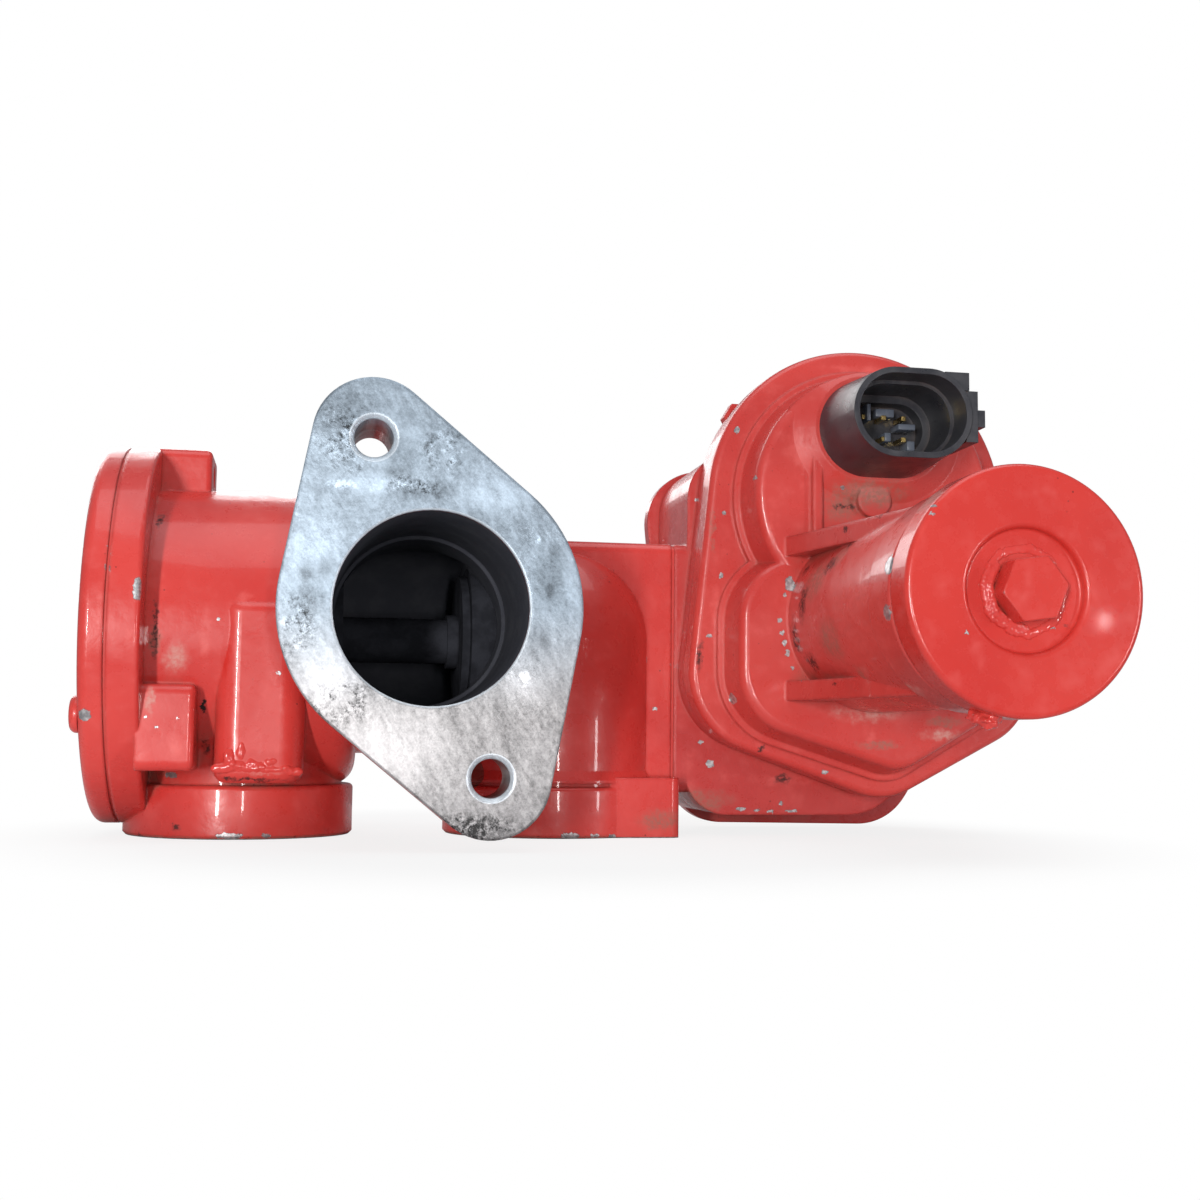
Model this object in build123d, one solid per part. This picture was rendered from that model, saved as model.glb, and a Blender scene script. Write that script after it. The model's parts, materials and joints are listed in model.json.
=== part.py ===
from build123d import *
import math
import os

# Electrically driven exhaust gas recirculation valve.
# Frame, millimetres: origin at the centre of the inlet bore on the flange face,
# +X from the valve end to the actuator end, +Y into the valve, +Z up.

# ---------------------------------------------------------------- driving sizes
# inlet flange, two bolts on a line tilted away from vertical
FLANGE_T = 16.0
FLANGE_R = 35.0
LOBE_R = 14.0
INLET_R = 22.5
INLET_L = 46.0
INLET_CAST_R = 21.6
HOLE_PCD = 82.4
HOLE_TILT = 20.0
HOLE_R = 4.5
HOLE_CHAMFER = 0.9
LOBE_BOSS_R = 11.5
LOBE_BOSS_H = 8.0
NECK_R = 28.0

# stem line
STEM_Y = 76.0
STEM_Z = -3.0
STEM_R = 4.0
STROKE = 8.0

# left chamber
COVER_FACE_X = -74.6
LEFT_END_X = -14.7
LEFT_R = 39.3
LEFT_BORE_R = 33.6
RIM_R = 49.8
RIM_T = 7.6
BOSS_L = 12.8
BOSS_W = 21.0
END_SCREW_IN = 6.3

# central chamber
MID_R = 31.0
MID_BORE_R = 25.5
LEFT_WALL_X = -27.0
RIGHT_WALL_X = 15.0
WALL_T = 8.0

# right chamber and plate that meets the gear housing
RIGHT_R = 28.2
RIGHT_BORE_R = 22.5
PLATE_Y1 = 96.0
PLATE_X0 = 34.0
PLATE_X1 = 71.0
PLATE_Z0 = -44.0
PLATE_Z1 = 25.0
PLATE_CORNER = 3.0

# outlet feet
FOOT_Z = -55.5
FOOT_T = 13.4
LEFT_FOOT_X = -44.7
LEFT_FOOT_R = 29.9
RIGHT_FOOT_R = 29.6
RIGHT_FOOT_IN = 1.9
OUTLET_R = 19.0
OUTLET_L = 14.0
OUTLET_CAST_R = 18.2
LIP_GAP = 0.9
LIP_T = 3.2
LIP_EDGE = 0.6
LIP_OUT = 1.4
FOOT_HOLE_R = 2.6
FOOT_HOLE_PCR = 24.6
FOOT_HOLE_DEPTH = 12.0
FOOT_CHAMFER = 0.8
HEEL_T = 15.8

# front fairing on the left chamber
FAIRING_X0 = -49.8
FAIRING_X1 = -28.0
FAIRING_Y = 36.0
FAIRING_Z1 = 4.0

# end cover
END_T = 6.0
END_SPIGOT_L = 4.0
END_SPIGOT_W = 4.0
END_BOSS_R = 9.0
END_BOSS_L = 14.0
GASKET_T = 0.7
GASKET_IN = 0.6
SPIGOT_GAP = 0.15

# valve seats and poppets
LEFT_THROAT_R = 19.5
RIGHT_THROAT_R = 16.5
SEAT_W = 4.0
SEAT_BEVEL = 1.6
POPPET_LAP = 1.9
POPPET_NOSE = 1.2
POPPET_RIM = 2.0
POPPET_T = 5.0
POPPET_HUB_R = 7.5
SEAT_GAP = 0.3

# guides, seal and stem fittings
BUSH_WALL = 2.0
BUSH_L = 9.0
RUN_GAP = 0.04
SEAL_R = 8.0
SEAL_L = 3.4
STEM_LEFT_X = -66.0
STEM_NUT_AF = 13.0
STEM_NUT_T = 5.0

# return spring
SPRING_R = 8.4
SPRING_WIRE_R = 0.8
SPRING_TURNS = 3.4
SPRING_L = 16.4
WASHER_T = 1.2
RETAINER_T = 2.0

# gear train: output, idler and motor axes stand in line at one X
AXIS_OFF = 48.2
OUT_MODULE = 1.6
OUT_TEETH = 39
SMALL_TEETH = 11
IN_MODULE = 1.0
WHEEL_TEETH = 57
PINION_TEETH = 12
BACKLASH = 0.4
OUT_GEAR_Y0 = 50.0
OUT_GEAR_T = 8.0
CAM_T = 7.5
CAM_R = 27.5
CAM_R_CLOSED = 13.0
OPEN_ANGLE = 80.0
WHEEL_Y0 = 40.0
WHEEL_T = 5.5
WHEEL_HOLE_R = 4.6
WHEEL_HOLE_PCR = 16.8
WHEEL_HOLES = 5
WINDOW_R = 5.0
WINDOW_PCR = 17.5
OUT_PIN_R = 5.0
OUT_BUSH_WALL = 1.5
IDLER_PIN_R = 3.0
ROLLER_R = 3.0
DRIVE_PIN_R = 2.0
SLOT_GAP = 0.25
MAGNET_ARC_R = 25.5
SENSOR_ANGLE = 204.0
BOARD_T = 1.6
BOARD_FAR = 31.0
BOARD_W = 13.0
BOARD_H = 20.0
BOARD_TOP = 5.0
CHIP_W = 6.0
CHIP_GAP = 2.2
YOKE_HALF = 4.6
YOKE_H = 6.0
YOKE_Y0 = 70.0
YOKE_Y1 = 84.0
RAIL_T = 3.0
RAIL_GAP = 0.35

# gear housing
SEAM_X_GASKET = 0.8
HOUSING_WALL = 4.0
HOUSING_FLANGE_T = 7.2
HOUSING_Y1 = 97.0
HOUSING_SCREW_R = 3.0
HOUSING_HEAD_R = 4.8
COLUMN_R = 5.6
SPOTFACE_DEPTH = 0.4
SPOTFACE_REACH = 4.4

# rear cover
REAR_T = 6.0
REAR_GASKET_T = 0.8
REAR_LIP = 1.8

# gear cover
RIM_Y0 = 46.0
RIM_Y1 = 54.0
RIM_SEAL_T = 0.8
STEP_H = 1.6
DOME_Y = 34.0
DOME_WALL = 4.0
DOME_DRAFT = 10.0
DOME_INSET = 1.5
RIM_ROOF = 3.0
COVER_WALL = 4.6

# motor tube and cap
MOTOR_Y_FRONT = -43.0
TUBE_R = 24.3
TUBE_BORE_R = 22.0
COLLAR_R = 25.6
COLLAR_Y0 = -39.0
COLLAR_Y1 = -26.0
CAP_R = 27.0
CAP_Y0 = -52.0
CAP_Y1 = -43.4
CAP_SKIRT_GAP = 0.1
SPIGOT_R = 23.7
CAP_FACE_T = 4.4
CAP_RING_R = 13.3
CAP_RING_DEPTH = 2.0
CAP_RING_ROUND = 1.2
HEX_AF = 13.0
HEX_H = 6.0
HEX_CROWN = 1.4
HEX_CROWN_R = 22.0
PLUG_R = 4.0
GUSSET_T = 5.0
GUSSET_OFF = 19.0
GUSSET_REACH = 25.7
GUSSET_Y = -24.0
GUSSET_END = 13.0

# motor
CAN_GAP = 0.25
CAN_WALL = 1.5
MAGNET_T = 3.6
MAGNET_OVER = 2.0
MAGNET_SPLIT = 4.0
AIR_GAP = 0.7
CORE_L = 38.0
MOTOR_SHAFT_R = 2.5
BEARING_R = 8.0
BEARING_W = 5.0
COMMUTATOR_R = 6.5

# connector
CONN_OFF = 0.7
CONN_Z = 53.4
CONN_W = 31.6
CONN_H = 23.0
CONN_WALL = 1.5
CONN_Y0 = 9.0
CONN_SPREAD = 1.5
CONN_STEP = 1.0
CONN_STEP_L = 8.0
CONN_PLUG_IN = 3.1
CONN_FLOOR_T = 3.6
CONN_SEAT_T = 3.0
CONN_SEAT_W = 2.6
CONN_SEAL_T = 1.6
COLLAR_FLARE = 60.0
PIN_COLS = 3
PIN_ROWS = 2
PIN_PITCH_X = 5.5
PIN_PITCH_Z = 5.7
PIN_W = 1.2
PIN_REACH = 5.8

# screws
END_SCREW_R = 3.0
END_HEAD_R = 4.6
END_HEAD_T = 2.2
LONG_SCREW_R = 3.0
SHORT_SCREW_R = 2.5
SCREW_CLEAR = 0.35
TAP_GAP = 0.02
TAP_DEPTH = 8.6
TAP_SPARE = 0.4
HOUSING_SCREW_IN_Y = 6.0
HOUSING_SCREW_TOP = 8.0
HOUSING_SCREW_LOW = 9.0

# ---------------------------------------------------------------- worked-out places
HOUSE_X0 = PLATE_X1 + SEAM_X_GASKET
HOUSE_Y0 = RIM_Y1 + RIM_SEAL_T
PLATE_Y0 = HOUSE_Y0 + HOUSING_FLANGE_T
AXIS_X = HOUSE_X0 + AXIS_OFF
CONN_X = AXIS_X + CONN_OFF
OUT_R = OUT_MODULE * OUT_TEETH / 2
SMALL_R = OUT_MODULE * SMALL_TEETH / 2
WHEEL_R = IN_MODULE * WHEEL_TEETH / 2
PINION_R = IN_MODULE * PINION_TEETH / 2
IDLER_Z = STEM_Z + OUT_R + SMALL_R
MOTOR_Z = IDLER_Z - WHEEL_R - PINION_R
OUT_GEAR_Y1 = OUT_GEAR_Y0 + OUT_GEAR_T
CAM_Y1 = OUT_GEAR_Y1 + CAM_T
PIN_X = AXIS_X - CAM_R_CLOSED
REAR_Y0 = HOUSING_Y1 + REAR_GASKET_T
REAR_Y1 = REAR_Y0 + REAR_T
GUIDE_X1 = PLATE_X1 - SEAL_L - 0.2
SPIGOT_OUT_R = LEFT_BORE_R - SPIGOT_GAP
END_X1 = COVER_FACE_X - GASKET_T
END_X0 = END_X1 - END_T
END_SCREW_PCR = RIM_R - END_SCREW_IN
LIP_Z = FOOT_Z + FOOT_T + LIP_GAP
CONN_BACK_Y = DOME_Y + DOME_WALL + 0.6
CONN_FLOOR_Y = CONN_BACK_Y - CONN_FLOOR_T
RIGHT_FOOT_X = PLATE_X1 - RIGHT_FOOT_R - RIGHT_FOOT_IN


# ---------------------------------------------------------------- helpers
def across_y(outline, y0, y1):
    """Prism of an (x, z) outline from y0 to y1."""
    return extrude(Plane(origin=(0, y1, 0), x_dir=(1, 0, 0), z_dir=(0, -1, 0)) * outline, amount=y1 - y0)


def across_x(outline, x0, x1):
    """Prism of a (y, z) outline from x0 to x1."""
    return extrude(Plane(origin=(x0, 0, 0), x_dir=(0, 1, 0), z_dir=(1, 0, 0)) * outline, amount=x1 - x0)


def across_z(outline, z0, z1):
    """Prism of an (x, y) outline from z0 to z1."""
    return extrude(Plane.XY.offset(z0) * outline, amount=z1 - z0)


def disc(u, v, r):
    return Pos(u, v) * Circle(r)


def rod_x(r, x0, x1, y=STEM_Y, z=STEM_Z):
    return across_x(disc(y, z, r), x0, x1)


def rod_y(r, y0, y1, x=AXIS_X, z=STEM_Z):
    return across_y(disc(x, z, r), y0, y1)


def cone_x(r0, r1, x0, x1):
    """Cone on the stem line, radius r0 at x0 and r1 at x1."""
    side = Polyline((x0, 0), (x0, r0), (x1, r1), (x1, 0), close=True)
    turned = revolve(Plane.XY * make_face(side), Axis.X, 360)
    return Pos(0, STEM_Y, STEM_Z) * turned


def box(x0, x1, y0, y1, z0, z1):
    return Pos((x0 + x1) / 2, (y0 + y1) / 2, (z0 + z1) / 2) * Box(x1 - x0, y1 - y0, z1 - z0)


def wrap(circles):
    """Outline of a belt pulled round circles (u, v, r) listed counter-clockwise."""
    count = len(circles)
    runs = []
    for i in range(count):
        u1, v1, r1 = circles[i]
        u2, v2, r2 = circles[(i + 1) % count]
        gap = math.hypot(u2 - u1, v2 - v1)
        turn = math.atan2(v2 - v1, u2 - u1) - math.acos((r1 - r2) / gap)
        start = (u1 + r1 * math.cos(turn), v1 + r1 * math.sin(turn))
        end = (u2 + r2 * math.cos(turn), v2 + r2 * math.sin(turn))
        runs.append((turn, start, end))
    edges = []
    for i in range(count):
        turn, start, end = runs[i]
        next_turn, next_start, _ = runs[(i + 1) % count]
        u, v, r = circles[(i + 1) % count]
        sweep = (next_turn - turn) % (2 * math.pi)
        middle = turn + sweep / 2
        edges.append(Line(start, end))
        edges.append(ThreePointArc(end, (u + r * math.cos(middle), v + r * math.sin(middle)), next_start))
    return make_face(edges)


def grown(circles, by):
    return [(u, v, r + by) for u, v, r in circles]


def gear_face(module, teeth, addendum, phase_deg, first=0, last=None):
    """Involute gear outline; teeth outside first..last are left off down to the root."""
    pressure = math.radians(20)
    pitch_r = module * teeth / 2
    base_r = pitch_r * math.cos(pressure)
    root_r = pitch_r - 1.25 * module
    tip_r = pitch_r + addendum * module
    low_r = max(base_r, root_r + 0.1 * module)
    half = math.pi / (2 * teeth) - BACKLASH / (4 * pitch_r) + math.tan(pressure) - pressure
    last = teeth - 1 if last is None else last
    points = []
    for i in range(teeth):
        middle = math.radians(phase_deg) + 2 * math.pi * i / teeth
        if i < first or i > last:
            points.append((root_r * math.cos(middle), root_r * math.sin(middle)))
            continue
        flank = []
        for share in (0.0, 0.5, 1.0):
            r = low_r + (tip_r - low_r) * share
            roll = math.acos(min(1.0, base_r / r))
            flank.append((r, half - (math.tan(roll) - roll)))
        flank.insert(0, (root_r, flank[0][1]))
        for r, spread in flank:
            points.append((r * math.cos(middle - spread), r * math.sin(middle - spread)))
        for r, spread in reversed(flank):
            points.append((r * math.cos(middle + spread), r * math.sin(middle + spread)))
    return make_face(Polyline(*points, close=True))


def hexagon(across_flats):
    return RegularPolygon(across_flats / math.sqrt(3), 6)


# ---------------------------------------------------------------- shared outlines
tilt = math.radians(90 + HOLE_TILT)
TOP_HOLE = (HOLE_PCD / 2 * math.cos(tilt), HOLE_PCD / 2 * math.sin(tilt))
LOW_HOLE = (-TOP_HOLE[0], -TOP_HOLE[1])

# (x offset from the gear axes, z, radius)
RIM_SHAPE = [(0, 36, 42.4), (-25.7, -11, 22.0), (6, -26, 18.5), (31.5, -12, 19.0)]
DOME_TOP = (0, 36, 36.2)
DOME_LOW = [(-20.3, 2, 20.2), (-20, -11, 20.5), (6, -26.5, 13.5), (27, -12, 15.5), (24, 6, 17.5)]
BLOCK_SHAPE = [(30, 38, 14.0), (-31, 38, 13.5), (-33, -38, 12.0), (2, -32, 18.0), (34, -10, 17.0)]
REAR_SHAPE = [(30, 36, 16.0), (-32, 36, 16.0), (-25, -38, 16.0), (18.5, -36.5, 18.0), (36, -10, 18.0)]

LONG_SCREWS = [(-36, 38), (36, 38), (-36, -22), (38, -22.5)]
SHORT_SCREWS = [(-29.5, 61.5), (0, 73.2), (29.5, 61.5)]
HOUSING_SCREWS = []
for y in (PLATE_Y0 + HOUSING_SCREW_IN_Y, PLATE_Y1 - HOUSING_SCREW_IN_Y):
    for z in (PLATE_Z1 - HOUSING_SCREW_TOP, PLATE_Z0 + HOUSING_SCREW_LOW):
        HOUSING_SCREWS.append((y, z))
END_SCREWS = []
for degrees in (90, 210, 330):
    spoke = math.radians(degrees)
    END_SCREWS.append((STEM_Y + END_SCREW_PCR * math.cos(spoke), STEM_Z + END_SCREW_PCR * math.sin(spoke)))


def on_axis(circles):
    return [(AXIS_X + u, v, r) for u, v, r in circles]


INNER_X = min(AXIS_X + u - r for u, v, r in BLOCK_SHAPE) + HOUSING_WALL
SPOT_X = INNER_X - SPOTFACE_DEPTH
SPRING_X0 = SPOT_X + WASHER_T
SPRING_X1 = SPRING_X0 + SPRING_L
RIM = on_axis(RIM_SHAPE)
LOW_DOME = on_axis(DOME_LOW)
BLOCK = on_axis(BLOCK_SHAPE)
REAR = on_axis(REAR_SHAPE)


def dome_outline(by):
    return disc(AXIS_X + DOME_TOP[0], DOME_TOP[1], DOME_TOP[2] + by) + wrap(grown(LOW_DOME, by))


def inner_outline():
    """What both the housing's block and the cover's rim leave open."""
    return wrap(grown(BLOCK, -HOUSING_WALL)) & wrap(grown(RIM, -COVER_WALL))


# ---------------------------------------------------------------- valve body
def foot_holes(x, y):
    holes = None
    for k in range(4):
        spoke = math.radians(45 + 90 * k)
        at = disc(x + FOOT_HOLE_PCR * math.cos(spoke), y + FOOT_HOLE_PCR * math.sin(spoke), FOOT_HOLE_R)
        hole = across_z(at, FOOT_Z - 1, FOOT_Z + FOOT_HOLE_DEPTH)
        holes = hole if holes is None else holes + hole
    return holes


def make_body():
    flange_outline = wrap([(0, 0, FLANGE_R), (*TOP_HOLE, LOBE_R), (0, 0, FLANGE_R), (*LOW_HOLE, LOBE_R)])
    flange = across_y(flange_outline, 0, FLANGE_T)
    neck = across_y(disc(0, 0, NECK_R), FLANGE_T - 1, STEM_Y)
    lobe_boss = across_y(disc(*TOP_HOLE, LOBE_BOSS_R), FLANGE_T - 1, FLANGE_T + LOBE_BOSS_H)
    left = rod_x(LEFT_R, COVER_FACE_X + RIM_T - 1, LEFT_END_X)
    left = fillet(left.edges().filter_by(GeomType.CIRCLE).group_by(Axis.X)[-1], 6)
    rim = rod_x(RIM_R, COVER_FACE_X, COVER_FACE_X + RIM_T)
    rim = fillet(rim.edges().filter_by(GeomType.CIRCLE).group_by(Axis.X)[-1], 1.2)
    bosses = end_bosses()
    middle = rod_x(MID_R, LEFT_END_X - 4, RIGHT_WALL_X + WALL_T)
    right = rod_x(RIGHT_R, RIGHT_WALL_X, RIGHT_FOOT_X)
    elbow = Pos(RIGHT_FOOT_X, STEM_Y, STEM_Z) * Sphere(RIGHT_R)
    drop = across_z(disc(RIGHT_FOOT_X, STEM_Y, RIGHT_R), FOOT_Z + 4, STEM_Z)
    lip = across_z(disc(RIGHT_FOOT_X, STEM_Y, RIGHT_R + LIP_OUT), LIP_Z, LIP_Z + LIP_T)
    lip_top = lip.edges().filter_by(GeomType.CIRCLE).group_by(Axis.Z)[-1]
    lip = chamfer(lip_top, LIP_T - LIP_EDGE, LIP_OUT)
    left_drop = across_z(disc(LEFT_FOOT_X, STEM_Y, LEFT_FOOT_R - 3), FOOT_Z + 4, STEM_Z)
    left_foot = foot(LEFT_FOOT_X, LEFT_FOOT_R)
    right_foot = foot(RIGHT_FOOT_X, RIGHT_FOOT_R)
    heel = box(RIGHT_FOOT_X + 12, PLATE_X1, PLATE_Y0 - 12, PLATE_Y1, FOOT_Z, FOOT_Z + HEEL_T)
    heel = fillet(heel.edges().filter_by(Axis.Z).group_by(Axis.X)[-1], 3)
    plate = box(PLATE_X0, PLATE_X1, PLATE_Y0, PLATE_Y1, PLATE_Z0, PLATE_Z1)
    plate = fillet(plate.edges().filter_by(Axis.X), PLATE_CORNER)
    solid = flange + neck + lobe_boss + left + rim + bosses + middle + right + elbow + drop + lip
    solid += left_drop + left_foot + right_foot + heel + plate + make_fairing()
    return solid - body_hollows()


def foot(x, r):
    pad = across_z(disc(x, STEM_Y, r), FOOT_Z, FOOT_Z + FOOT_T)
    pad = fillet(pad.edges().filter_by(GeomType.CIRCLE).group_by(Axis.Z)[-1], 1.2)
    return chamfer(pad.edges().filter_by(GeomType.CIRCLE).group_by(Axis.Z)[0], FOOT_CHAMFER)


def end_bosses():
    """Blocks behind the rim that take the end cover's screws."""
    x0 = COVER_FACE_X + RIM_T - 1
    x1 = COVER_FACE_X + RIM_T + BOSS_L
    half = BOSS_W / 2
    y_front, z_low = END_SCREWS[1]
    y_back = END_SCREWS[2][0]
    top = box(x0, x1, STEM_Y - half, STEM_Y + half, STEM_Z + LEFT_R - 6, STEM_Z + RIM_R - 0.4)
    front = box(x0, x1, y_front - 4.6, y_front + 16, z_low - half - 3, z_low + half - 3)
    back = box(x0, x1, y_back - 16, y_back + 4.6, z_low - half - 3, z_low + half - 3)
    blocks = None
    for block in (top, front, back):
        block = fillet(block.edges().filter_by(Axis.X), 2.5)
        block = fillet(block.faces().sort_by(Axis.X)[-1].edges(), 1.5)
        blocks = block if blocks is None else blocks + block
    return blocks


def make_fairing():
    block = box(FAIRING_X0, FAIRING_X1, FAIRING_Y, STEM_Y, LIP_Z, FAIRING_Z1)
    block = fillet(block.edges().filter_by(Axis.Z).group_by(Axis.Y)[0], 6)
    block = fillet(block.faces().sort_by(Axis.Z)[0].edges().group_by(Axis.Y)[0], 3)
    return fillet(block.faces().sort_by(Axis.Z)[-1].edges().group_by(Axis.Y)[0], 3)


def outlet(x):
    """Bored mouth of a foot and the narrower cast passage above it."""
    mouth = across_z(disc(x, STEM_Y, OUTLET_R), FOOT_Z - 1, FOOT_Z + OUTLET_L)
    return mouth + across_z(disc(x, STEM_Y, OUTLET_CAST_R), FOOT_Z + OUTLET_L - 1, STEM_Z)


def body_hollows():
    inlet = across_y(disc(0, 0, INLET_R), -1, INLET_L)
    inlet += across_y(disc(0, 0, INLET_CAST_R), INLET_L - 1, STEM_Y)
    left = rod_x(LEFT_BORE_R, COVER_FACE_X - 1, LEFT_WALL_X)
    middle = rod_x(MID_BORE_R, LEFT_WALL_X + WALL_T, RIGHT_WALL_X)
    left_seat = rod_x(LEFT_THROAT_R + SEAT_W, LEFT_WALL_X - 1, LEFT_WALL_X + WALL_T + 1)
    right_seat = rod_x(RIGHT_THROAT_R + SEAT_W, RIGHT_WALL_X - 1, RIGHT_WALL_X + WALL_T + 1)
    right = rod_x(RIGHT_BORE_R, RIGHT_WALL_X + WALL_T, RIGHT_FOOT_X)
    elbow = Pos(RIGHT_FOOT_X, STEM_Y, STEM_Z) * Sphere(RIGHT_BORE_R)
    left_out = outlet(LEFT_FOOT_X)
    right_out = outlet(RIGHT_FOOT_X)
    guide = rod_x(STEM_R + BUSH_WALL, RIGHT_FOOT_X, PLATE_X1 + 1)
    seal = rod_x(SEAL_R, PLATE_X1 - SEAL_L, PLATE_X1 + 1)
    hollows = inlet + left + middle + left_seat + right_seat + right + elbow
    hollows += left_out + right_out + guide + seal
    for at in (TOP_HOLE, LOW_HOLE):
        hollows += across_y(disc(*at, HOLE_R), -1, FLANGE_T + LOBE_BOSS_H + 1)
        mouth = Plane(origin=(at[0], 0, at[1]), x_dir=(1, 0, 0), z_dir=(0, 1, 0))
        on_face = (Align.CENTER, Align.CENTER, Align.MIN)
        hollows += mouth * Cone(HOLE_R + HOLE_CHAMFER, HOLE_R, HOLE_CHAMFER, align=on_face)
    for y, z in END_SCREWS:
        hollows += rod_x(END_SCREW_R - TAP_GAP, COVER_FACE_X - 1, COVER_FACE_X + RIM_T + BOSS_L + 1, y, z)
    for y, z in HOUSING_SCREWS:
        hollows += rod_x(HOUSING_SCREW_R - TAP_GAP, PLATE_X1 - TAP_DEPTH, PLATE_X1 + 1, y, z)
    return hollows + foot_holes(LEFT_FOOT_X, STEM_Y) + foot_holes(RIGHT_FOOT_X, STEM_Y)


# ---------------------------------------------------------------- end cover group
def make_end_cover():
    plate = rod_x(RIM_R, END_X0, END_X1)
    plate = fillet(plate.edges().filter_by(GeomType.CIRCLE).group_by(Axis.X)[0], 2.6)
    spigot = rod_x(SPIGOT_OUT_R, END_X1 - 1, END_X1 + GASKET_T + END_SPIGOT_L)
    spigot -= rod_x(SPIGOT_OUT_R - END_SPIGOT_W, END_X1, END_X1 + GASKET_T + END_SPIGOT_L + 1)
    boss = rod_x(END_BOSS_R, END_X1 - 1, END_X1 + END_BOSS_L)
    solid = plate + spigot + boss
    solid -= rod_x(STEM_R + BUSH_WALL, STEM_LEFT_X - STROKE - 2, END_X1 + END_BOSS_L + 1)
    for y, z in END_SCREWS:
        solid -= rod_x(END_SCREW_R + SCREW_CLEAR, END_X0 - 1, END_X1 + 1, y, z)
    return solid


def make_end_gasket():
    sheet = rod_x(RIM_R - GASKET_IN, END_X1, COVER_FACE_X)
    sheet -= rod_x(LEFT_BORE_R + SPIGOT_GAP, END_X1 - 1, COVER_FACE_X + 1)
    for y, z in END_SCREWS:
        sheet -= rod_x(END_SCREW_R + SCREW_CLEAR, END_X1 - 1, COVER_FACE_X + 1, y, z)
    return sheet


def make_end_screws():
    screws = []
    for y, z in END_SCREWS:
        head = rod_x(END_HEAD_R, END_X0 - END_HEAD_T, END_X0, y, z)
        head = fillet(head.edges().group_by(Axis.X)[0], 1.6)
        shank = rod_x(END_SCREW_R - TAP_GAP, END_X0 - 1, COVER_FACE_X + RIM_T + BOSS_L - 2, y, z)
        screws.append(head + shank)
    return Compound(screws)


# ---------------------------------------------------------------- valve group
def make_seat(throat_r, wall_x):
    ring = rod_x(throat_r + SEAT_W, wall_x, wall_x + WALL_T)
    ring -= rod_x(throat_r, wall_x - 1, wall_x + WALL_T + 1)
    return ring - cone_x(throat_r + SEAT_BEVEL + 1, throat_r, wall_x - 1, wall_x + SEAT_BEVEL)


def make_poppet(throat_r, wall_x):
    """Disc whose bevel closes on the seat's left edge."""
    face_x = wall_x - SEAT_GAP
    rim = rod_x(throat_r + POPPET_LAP, face_x - POPPET_RIM, face_x)
    bevel = cone_x(throat_r + POPPET_LAP, throat_r - POPPET_NOSE, face_x, face_x + POPPET_LAP + POPPET_NOSE)
    hub = rod_x(POPPET_HUB_R, face_x - POPPET_T, face_x + POPPET_T)
    return rim + bevel + hub - rod_x(STEM_R, face_x - POPPET_T - 1, face_x + POPPET_T + 1)


LEFT_POPPET_X = LEFT_WALL_X - SEAT_GAP
RIGHT_POPPET_X = RIGHT_WALL_X - SEAT_GAP


def make_stem():
    solid = rod_x(STEM_R, STEM_LEFT_X, PIN_X + YOKE_HALF - 1.5)
    ends = solid.edges().filter_by(GeomType.CIRCLE)
    return chamfer(ends, 0.6)


def make_spacer():
    sleeve = rod_x(STEM_R + 2.2, LEFT_POPPET_X + POPPET_T, RIGHT_POPPET_X - POPPET_T)
    return sleeve - rod_x(STEM_R, LEFT_POPPET_X, RIGHT_POPPET_X)


def make_stem_nut():
    x1 = LEFT_POPPET_X - POPPET_T
    nut = across_x(Pos(STEM_Y, STEM_Z) * hexagon(STEM_NUT_AF), x1 - STEM_NUT_T, x1)
    return nut - rod_x(STEM_R, x1 - 20, x1 + 1)


def make_collar():
    """Shoulder ring on the stem that the right poppet is clamped against."""
    x0 = RIGHT_POPPET_X + POPPET_T
    return rod_x(STEM_R + 2.2, x0, x0 + 3) - rod_x(STEM_R, x0 - 1, x0 + 4)


def make_bush(x0, x1):
    return rod_x(STEM_R + BUSH_WALL, x0, x1) - rod_x(STEM_R + RUN_GAP, x0 - 1, x1 + 1)


def make_stem_seal():
    ring = rod_x(SEAL_R, PLATE_X1 - SEAL_L, PLATE_X1)
    return ring - rod_x(STEM_R + RUN_GAP, PLATE_X1 - 10, PLATE_X1 + 1)


def make_spring():
    pitch = SPRING_L / SPRING_TURNS
    path = Helix(pitch=pitch, height=SPRING_L - 2 * SPRING_WIRE_R, radius=SPRING_R)
    section = Plane(origin=path @ 0, z_dir=path % 0) * Circle(SPRING_WIRE_R)
    coil = sweep(section, path=path)
    turned = Rot(0, 90, 0) * coil
    return Pos(SPRING_X0 + SPRING_WIRE_R, STEM_Y, STEM_Z) * turned


def make_washer():
    ring = rod_x(SPRING_R + 1.8, SPRING_X0 - WASHER_T, SPRING_X0)
    return ring - rod_x(STEM_R + 1.2, SPRING_X0 - 5, SPRING_X0 + 1)


def make_retainer():
    plate = rod_x(SPRING_R + 1.6, SPRING_X1, SPRING_X1 + RETAINER_T)
    return plate - rod_x(STEM_R, SPRING_X1 - 1, SPRING_X1 + RETAINER_T + 1)


def make_yoke():
    block = box(PIN_X - YOKE_HALF, PIN_X + YOKE_HALF, YOKE_Y0, YOKE_Y1, STEM_Z - YOKE_H, STEM_Z + YOKE_H)
    block = fillet(block.edges().filter_by(Axis.Y), 1.5)
    block -= rod_x(STEM_R, PIN_X - 20, PIN_X + YOKE_HALF - 1.5)
    return block - rod_y(DRIVE_PIN_R, YOKE_Y0 - 5, STEM_Y - STEM_R - 0.1, x=PIN_X)


def make_drive_pin():
    return rod_y(DRIVE_PIN_R, OUT_GEAR_Y1 + 1.4, STEM_Y - STEM_R - 0.1, x=PIN_X)


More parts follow.
